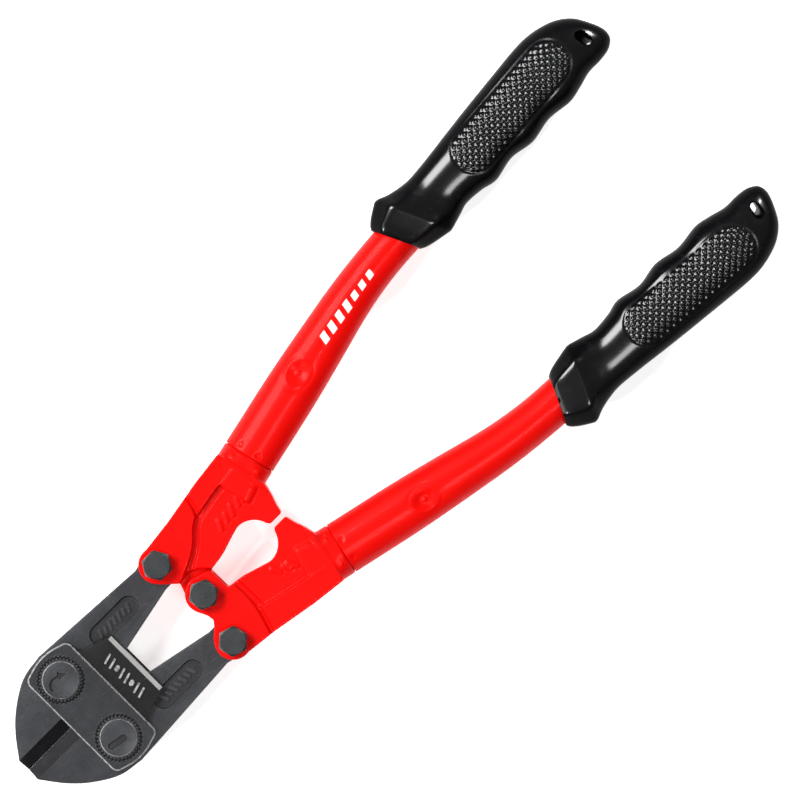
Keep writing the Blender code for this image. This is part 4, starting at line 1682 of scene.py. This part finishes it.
    def build(self) -> None:
        """Make the arm and put it in place."""
        top = self.tool.ear_level
        blank = Blank(prism(self.outline(), -top, top), self.part.value)
        blank.cut(prism(self.fork(), -self.slot_level, self.slot_level))
        blank.cut(prism(circle(self.tool.jaw_bolt, self.bolt_hole, 48), -FAR, FAR))
        hole = self.bolt_hole + (self.play if self.part is Part.UPPER else 0.0)
        if self.part is Part.LOWER:
            blank.cut(prism(self.tang_slot(), -self.slot_level, self.slot_level))
        for front in (1, -1):
            blank.cut(*self.grooves(front), self.shoulder_cutter(front))
        blank.join(*self.ribs())
        neck = [self.path.oval(s, inset) for s, inset in ((0.0, 0.0), (0.0, 0.5), (0.5, 0.5))]
        neck += [self.path.oval(s, 1.9) for s in (0.5, 7.0)]
        root = [self.neck_ring(*row) for row in ((-13, 7.0), (-8.5, 5.5), (-5, 3.6), (-2.5, 2.5))]
        blank.join(skin([*root, *neck]))
        blank.cut(prism(circle(self.tool.centre_bolt, hole, 48), -FAR, FAR))
        blank.soften(self.voxel, 5)
        name, body = f"arm_{self.part.tag}", f"handle_{self.part.tag}"
        paint = self.tool.finishes(Finish.PAINT)
        self.tool.set_down(name, blank.mesh(), body, "red_paint", paint, 70)

    def neck_ring(self, s: float, power: float) -> Ring:
        """Draw a section of the neck behind the seam.

        Args:
            s: Its distance from the seam, below zero.
            power: How square it is; 2 is the tube's own oval.

        Returns:
            The ring.
        """
        point, ahead, across = self.path.at(0.0)
        wide, deep = self.path.section(0.0)
        ring = []
        for i in range(72):
            turn = 2 * math.pi * i / 72
            cos, sin = math.cos(turn), math.sin(turn)
            reach = (abs(cos) ** power + abs(sin) ** power) ** (-1 / power)
            place = point + ahead * s + across * wide * cos * reach
            ring.append((place.x, place.y, deep * sin * reach))
        return ring


@dataclass
class Tube:
    """A painted steel tube with crimps beside the seam and a punched dimple with a pip."""

    tool: ToolFrame
    part: Part
    path: HandlePath
    wall: float = 1.6
    insert: float = 84.0
    dimple: Point = (33.6, 1.2)
    dimple_size: Point = (5.6, 4.3)
    dimple_depth: float = 1.7
    crimps: tuple[Point, ...] = ((2.6, 4.6), (2.2, -2.6))
    mark_start: float = 46.6

    def dent(self, s: float, reach: float) -> float:
        """Say how deep the skin is pushed in.

        Args:
            s: The place's distance along the tube.
            reach: Its distance across, to the outside.

        Returns:
            The depth.
        """
        along = (s - self.dimple[0]) / self.dimple_size[0]
        across = (reach - self.dimple[1]) / self.dimple_size[1]
        far = math.hypot(along, across)
        bowl = 0.5 + 0.5 * math.cos(math.pi * min(far, 1.0))
        pip = 0.5 + 0.5 * math.cos(math.pi * min(far / 0.30, 1.0))
        lip = math.exp(-(((far - 1.12) / 0.16) ** 2)) * 0.16
        depth = self.dimple_depth * bowl**0.8 - 0.9 * pip - lip
        for place, across in self.crimps:
            near = math.hypot(s - place, reach - across) / 1.5
            depth += 0.42 * (0.5 + 0.5 * math.cos(math.pi * min(near, 1.0)))
        return depth

    def build(self) -> None:
        """Make the tube and put it in place."""
        end = self.path.grip_start + self.insert
        stations = [0.5, 0.65, 0.9] + [1.2 + 0.5 * i for i in range(10)]
        stations += [6.5 + 1.5 * i for i in range(14)] + [27.0 + 0.4 * i for i in range(35)]
        stations += [41.5 + 2.0 * i for i in range(27)] + [end]
        rings = []
        for s in stations:
            wide, deep = self.path.section(s)
            lip = max(0.65 - s, 0.0)
            points = []
            for i in range(120):
                turn = 2 * math.pi * i / 120
                reach = (wide - lip) * math.cos(turn)
                level = (deep - lip) * math.sin(turn)
                if abs(level) > deep * 0.5:
                    level -= math.copysign(self.dent(s, reach), level)
                points.append((reach, level))
            rings.append(self.path.lay(s, points))
        bore = [end, *(95.0 - 4.0 * i for i in range(11)), 0.5]
        inside = [self.path.oval(s, self.wall, 120) for s in bore]
        mesh = Blank(skin(rings + inside, hollow=True), self.part.value).mesh()
        name, body = f"tube_{self.part.tag}", f"handle_{self.part.tag}"
        self.tool.set_down(name, mesh, body, "red_paint", [self.paint()], 40)

    def paint(self) -> Material:
        """Find the tube's paint; the upper tube's has a printed row of dashes.

        Returns:
            The material.
        """
        if self.part is Part.LOWER:
            return self.tool.looks[Finish.PAINT]
        start = self.path.at(self.mark_start)[0]
        row = self.tool.origin * 1000
        mark = Mark((start.x + row.x, start.y + row.y), 9.5)
        base = Finish.PAINT.value
        return RedPaint("red_paint_marked", base.colour, base.deep, mark).make()


@dataclass
class Grip:
    """A moulded grip: faceted collar, waist, finger bumps, studded panels and hanging slit."""

    tool: ToolFrame
    part: Part
    path: HandlePath
    deep: float = 11.9
    slant: float = 22.0
    stud_pitch: float = 2.9
    stud_rise: float = 0.56
    panel_start: float = 32.5
    panel_end: float = 87.0
    panel_half: float = 8.3
    panel_lean: float = 2.0
    slit_length: float = 5.2
    slit_width: float = 2.6
    slit_inset: float = 7.2
    slit_way: float = 97.65726135

    def profile(self) -> list[tuple[float, ...]]:
        """List the grip's sections, smoothed.

        Returns:
            Place from the mouth, outer and inner reach, half-depth, slant and facet share.
        """
        slant = self.slant
        collar = [
            (0.0, 8.6, 8.3, 0.735, slant, 1.0),
            (0.35, 9.1, 8.8, 0.77, slant, 1.0),
            (3.5, 11.2, 10.0, 0.88, slant, 1.0),
            (9.4, 14.0, 11.5, 0.99, slant, 1.0),
            (10.6, 14.2, 11.6, 1.0, slant, 1.0),
            (11.6, 14.1, 11.5, 0.985, slant, 0.95),
            (14.2, 12.7, 10.9, 0.93, slant, 0.5),
        ]
        body = [(17.5, 11.6, 10.2, 0.885, slant - 1, 0.15), (22.5, 10.9, 9.2, 0.86, slant - 3, 0.0)]
        body += [(31.0, 11.5, 9.9, 0.91, 8.0, 0.0)]
        straight = (
            (38.5, 12.3, 11.3, 0.96),
            (47.5, 13.0, 10.0, 0.97),
            (56.5, 13.6, 11.6, 0.995),
            (66.0, 14.2, 10.4, 0.995),
            (75.0, 14.7, 11.7, 0.99),
            (81.0, 14.5, 10.9, 0.97),
            (87.0, 13.2, 9.6, 0.90),
            (92.5, 10.8, 9.7, 0.79),
            (97.0, 6.8, 9.2, 0.64),
            (100.0, 1.0, 7.6, 0.43),
            (101.1, -2.0, 6.0, 0.22),
            (101.35, -3.0, 5.0, 0.08),
        )
        body += [(*row, 0.0, 0.0) for row in straight]
        sections = [(*row[:3], self.deep * row[3], *row[4:]) for row in collar + body]
        seam = len(collar)
        rows = spline(sections[: seam + 1], 6)[:-1] + spline(sections[seam:], 20)
        kept = [rows[0]]
        for row in rows[1:]:
            studded = self.panel_start - 5 < row[0] < self.panel_end + 5
            if row[0] - kept[-1][0] > (0.34 if studded else 0.7) or row is rows[-1]:
                kept.append(row)
        return kept

    @staticmethod
    def turns(quarter: Sequence[int] = (7, 19, 28)) -> list[float]:
        """List the angles of a section's points, with points on all its facets' corners.

        Args:
            quarter: How many points each facet of a quarter has.

        Returns:
            The angles in radians.
        """
        wide, deep = FACET
        corners = (0.0, math.atan2(deep, 1.0), math.atan2(1.0, wide), math.pi / 2)
        first = []
        for start, end, count in zip(corners, corners[1:], quarter):
            first += [start + (end - start) * i / count for i in range(count)]
        second = [math.pi - turn for turn in first[:0:-1]]
        half = first + [math.pi / 2] + second
        return half + [turn + math.pi for turn in half]

    @staticmethod
    def unit(turn: float, facets: float) -> Point:
        """Find a point of the section, one wide and one deep.

        Args:
            turn: The point's angle.
            facets: 1 for the collar's eight facets, 0 for the body's soft square.

        Returns:
            The point.
        """
        cos, sin = math.cos(turn), math.sin(turn)
        wide, deep = FACET
        flats = (abs(cos), abs(sin), (wide * abs(cos) + deep * abs(sin)) / FACET_REACH)
        faceted = sum(flat**SHARPNESS for flat in flats) ** (-1 / SHARPNESS)
        soft = (abs(cos) ** ROUNDNESS + abs(sin) ** ROUNDNESS) ** (-1 / ROUNDNESS)
        reach = faceted * facets + soft * (1 - facets)
        return cos * reach, sin * reach

    def stud(self, s: float, across: float) -> float:
        """Say how far the studded panel's skin stands up or is sunk.

        Args:
            s: The place's distance from the mouth.
            across: Its distance from the panel's middle line.

        Returns:
            The height over the plain skin.
        """
        radius = self.panel_half
        middle = (self.panel_start + self.panel_end) / 2
        straight = (self.panel_end - self.panel_start) / 2 - radius
        along = max(abs(s - middle) - straight, 0.0)
        inside = radius - math.hypot(along, across)
        if inside < -0.8:
            return 0.0
        share = min(max((inside + 0.8) / 1.2, 0.0), 1.0)
        sunk = -0.32 * share * share * (3 - 2 * share)
        u = (s + across) / self.stud_pitch
        v = (s - across) / self.stud_pitch
        peak = abs(math.sin(math.pi * u) * math.sin(math.pi * v))
        fade = min(max((inside - 0.2) / 1.0, 0.0), 1.0)
        return sunk + self.stud_rise * peak * fade

    def ring(self, row: Sequence[float], turns: Sequence[float]) -> Ring:
        """Draw one section.

        Args:
            row: A row of the profile.
            turns: The angles of its points.

        Returns:
            The ring.
        """
        s, outer, inner, deep, slant, facets = row
        lean = math.tan(math.radians(slant))
        points = []
        for turn in turns:
            wide, level = self.unit(turn, facets)
            reach = (outer - inner) / 2 + wide * (outer + inner) / 2
            height = level * deep
            if abs(level) > 0.25:
                along = s - reach * lean
                middle = self.panel_lean + 0.035 * (along - 60)
                rise = self.stud(along, reach - middle)
                height += rise if height > 0 else -rise
            points.append((reach, height))
        return self.path.lay(self.path.grip_start + s, points, lean)

    def build(self) -> None:
        """Make the grip and put it in place."""
        turns = self.turns()
        rows = self.profile()
        rings = [self.ring(row, turns) for row in rows]
        lip = [self.mouth_ring(-0.1, 0.8, turns)]
        lip += [self.mouth_ring(s, 0.3, turns) for s in (0.6, 4.0, 12.0, 20.0, 50.0, 84.5)]
        solid = skin(lip[::-1] + rings)
        point, _, across = self.path.at(self.path.grip_start + rows[-1][0] - self.slit_inset)
        middle = point - across * 2.8
        lie = math.degrees(math.atan2(across.y, across.x)) + 8
        shape = slot(middle, self.slit_width / 2, self.slit_length - self.slit_width, lie)
        side = heading(math.radians(self.slit_way))
        blank = Blank(solid, self.part.value).cut(self.slit(shape, side))
        name, body = f"grip_{self.part.tag}", f"handle_{self.part.tag}"
        vinyl = self.tool.finishes(Finish.VINYL)
        self.tool.set_down(name, blank.mesh(), body, "grip_rubber", vinyl, 38)

    def slit(self, shape: Outline, side: Vector) -> Solid:
        """Make the hanging slit's cutter, flared at both faces and leaning over.

        Args:
            shape: The slit's outline.
            side: The way that it leans towards the front.

        Returns:
            The solid to cut away.
        """
        lean = math.tan(math.radians(self.part.slit_lean))
        rings = []
        for z, flare in ((-FAR, 1.2), (-8.2, 0.7), (-7.2, 0.0), (7.2, 0.0), (8.2, 0.7), (FAR, 1.2)):
            moved = [(x + side.x * z * lean, y + side.y * z * lean) for x, y in shape]
            rings.append(at_level(offset(moved, flare), z))
        return skin(rings)

    def mouth_ring(self, s: float, spare: float, turns: Sequence[float]) -> Ring:
        """Draw a ring of the mouth's bore, which is as slanted as the mouth.

        Args:
            s: Its distance from the mouth.
            spare: How far it stands off the tube.
            turns: The angles of its points.

        Returns:
            The ring.
        """
        wide, deep = (half + spare for half in self.path.section(self.path.grip_start + s))
        lean = math.tan(math.radians(self.slant)) * max(1 - s / 20, 0.0)
        points = [(wide * math.cos(turn), deep * math.sin(turn)) for turn in turns]
        return self.path.lay(self.path.grip_start + s, points, lean)


# ---------------------------------------------------------------- the studio


@dataclass
class Studio:
    """A pale floor, soft boxes and a long lens looking straight down."""

    tool: ToolFrame
    frame_width: float = 0.2744
    camera_height: float = 2.0
    aim: Point = (149.55, -0.62)
    turn: float = -45.104

    def aim_point(self) -> Vector:
        """Return the point that the camera looks at."""
        return self.tool.origin + Vector((self.aim[0], self.aim[1], 0.0)) / 1000

    def camera(self) -> None:
        """Make the camera."""
        data = bpy.data.cameras.new("camera")
        data.sensor_width = 36.0
        data.lens = 36.0 * self.camera_height / self.frame_width
        data.clip_end = 20.0
        camera = bpy.data.objects.new("camera", data)
        bpy.context.scene.collection.objects.link(camera)
        camera.location = self.aim_point() + Vector((0, 0, self.camera_height))
        camera.rotation_euler = (0, 0, math.radians(self.turn))
        bpy.context.scene.camera = camera

    def floor(self, finish: Material) -> None:
        """Make the floor.

        Args:
            finish: Its material.
        """
        solid = bmesh.new()
        bmesh.ops.create_grid(solid, x_segments=8, y_segments=8, size=6.0)
        mesh = bpy.data.meshes.new("floor")
        solid.to_mesh(mesh)
        solid.free()
        mesh.materials.append(finish)
        floor = bpy.data.objects.new("floor", mesh)
        floor.location.z = cad_box[0].z
        bpy.context.scene.collection.objects.link(floor)

    def softbox(self, name: str, place: Sequence[float], size: Point, power: float) -> None:
        """Hang a soft box that faces the tool.

        Args:
            name: Its name.
            place: Where it hangs, from the tool's middle, in metres.
            size: Its width and height in metres.
            power: Its power in watts.
        """
        data = bpy.data.lights.new(name, "AREA")
        data.shape = "RECTANGLE"
        data.size, data.size_y = size
        data.energy = power
        light = bpy.data.objects.new(name, data)
        light.location = Vector(place)
        light.rotation_euler = (-light.location).to_track_quat("-Z", "Y").to_euler()
        bpy.context.scene.collection.objects.link(light)

    def sky(self, strength: float) -> None:
        """Fill the room with even light.

        Args:
            strength: How strong it is.
        """
        world = bpy.data.worlds.new("room")
        world.use_nodes = True
        background = world.node_tree.nodes["Background"]
        background.inputs["Color"].default_value = (1.0, 1.0, 1.0, 1.0)
        background.inputs["Strength"].default_value = strength
        bpy.context.scene.world = world

    def build(self, finish: Material) -> None:
        """Set up the whole studio.

        Args:
            finish: The floor's material.
        """
        self.camera()
        self.floor(finish)
        self.softbox("key", (-0.35, 1.15, 1.25), (0.95, 0.95), 42.0)
        self.softbox("fill", (-0.10, -0.55, 1.60), (0.50, 0.50), 8.0)
        self.softbox("side", (-1.30, 0.70, 0.60), (0.90, 0.40), 5.5)
        self.softbox("glint_front", (-1.35, 0.10, 0.85), (0.08, 0.08), 8.0)
        self.softbox("glint_back", (1.45, 0.15, 0.80), (0.08, 0.08), 8.0)
        self.sky(0.10)
        bpy.context.scene.view_settings.view_transform = "Standard"


# ---------------------------------------------------------------- the whole tool


class Finish(Enum):
    """The finishes of the tool."""

    JAW = DarkSteel("jaw_black_oxide", (0.029, 0.030, 0.034))
    STRAP = DarkSteel("strap_black_steel", (0.023, 0.024, 0.027), worn=0.45)
    # Pale rubbed steel for chamfers and raised tops: partly wear, and on the chamfers partly a
    # painted highlight.
    WORN = GroundSteel("rubbed_steel", (0.42, 0.42, 0.43), 0.38, (1.5, 1.5, 1.5), 0.85)
    GROUND = GroundSteel("ground_steel", (0.40, 0.40, 0.39), 0.30, (8.0, 0.4, 1.0))
    BEVEL = DarkSteel("ground_bevel", (0.019, 0.019, 0.022), 0.55, 0.40, 0.006, 0.5)
    TONGUE = DarkSteel(
        "tongue_blasted_steel", (0.008, 0.008, 0.008), 0.3, 0.50, 0.03, 0.25, 0.2, specular=0.22
    )
    # Darker steel for the floors of sunk panels and marks: painted shade in the recesses.
    RECESS = DarkSteel("recess_blasted_steel", (0.017, 0.017, 0.019), 0.5, 0.50, 0.02, 0.3)
    ADJUSTER = DarkSteel("adjuster_steel", (0.045, 0.046, 0.051), 0.6, 0.38, 0.008, 0.55)
    BOLT = DarkSteel("bolt_black_zinc", (0.033, 0.036, 0.037), 0.6, 0.40, 0.008, 0.40)
    PAINT = RedPaint("red_paint", (0.73, 0.0024, 0.0012), (0.65, 0.0018, 0.0008))
    VINYL = GripVinyl("grip_vinyl", (0.0022, 0.0022, 0.0028))
    NYLON = Nylon("nylon_ring", (0.60, 0.59, 0.52))
    FLOOR = PaleFloor("pale_floor", (0.90, 0.90, 0.90))


def bolted(
    tool: ToolFrame, part: Part, stem: str, tail: str, body: str, centre: Vector, turn: float
) -> list[HexFastener]:
    """List a bolt, its lock nut and the nut's nylon ring.

    Args:
        tool: The tool's frame.
        part: The half that they belong to.
        stem: What their names start with.
        tail: What their names end with.
        body: The CAD body that they ride on.
        centre: Their centre.
        turn: How far the bolt's head is turned, in degrees.

    Returns:
        The three pieces.
    """
    kinds = ((HexBolt, "bolt", turn), (LockNut, "nut", 0.0), (LockRing, "nut_ring", 0.0))
    return [
        kind(tool, part, f"{stem}_{word}{tail}", body, centre, phase=phase)
        for kind, word, phase in kinds
    ]


def half(tool: ToolFrame, part: Part, path: HandlePath) -> list[Any]:
    """List one jaw, its adjuster and its handle.

    Args:
        tool: The tool's frame.
        part: Which half it is.
        path: The line of the upper handle.

    Returns:
        The pieces.
    """
    tail, adjuster = f"_{part.tag}", tool.adjuster
    pieces = [Jaw(tool, part), AdjustingBolt(tool, part)]
    pieces.append(AdjustingNut(tool, part, f"adjusting_nut{tail}", "straps", adjuster))
    pieces += bolted(tool, part, "jaw", tail, f"handle{tail}", tool.jaw_bolt, part.bolt_turn)
    return pieces + [kind(tool, part, path) for kind in (Arm, Tube, Grip)]


def main() -> None:
    """Build the tool and its studio."""
    logging.basicConfig(level=logging.INFO, format="%(name)s %(message)s")
    looks = {finish: finish.value.make() for finish in Finish}
    tool = ToolFrame.of(frame["joints"], looks)
    path = HandlePath((tool.jaw_bolt.x + 47.9, tool.jaw_bolt.y + 3.85))
    pieces = [Strap(tool, 1), Strap(tool, -1)]
    pieces += [piece for part in Part for piece in half(tool, part, path)]
    pieces += bolted(tool, Part.UPPER, "centre", "", "handle_lower", tool.centre_bolt, 36.0)
    for piece in pieces:
        piece.build()
    Studio(tool).build(looks[Finish.FLOOR])


if __name__ == "__main__":
    main()
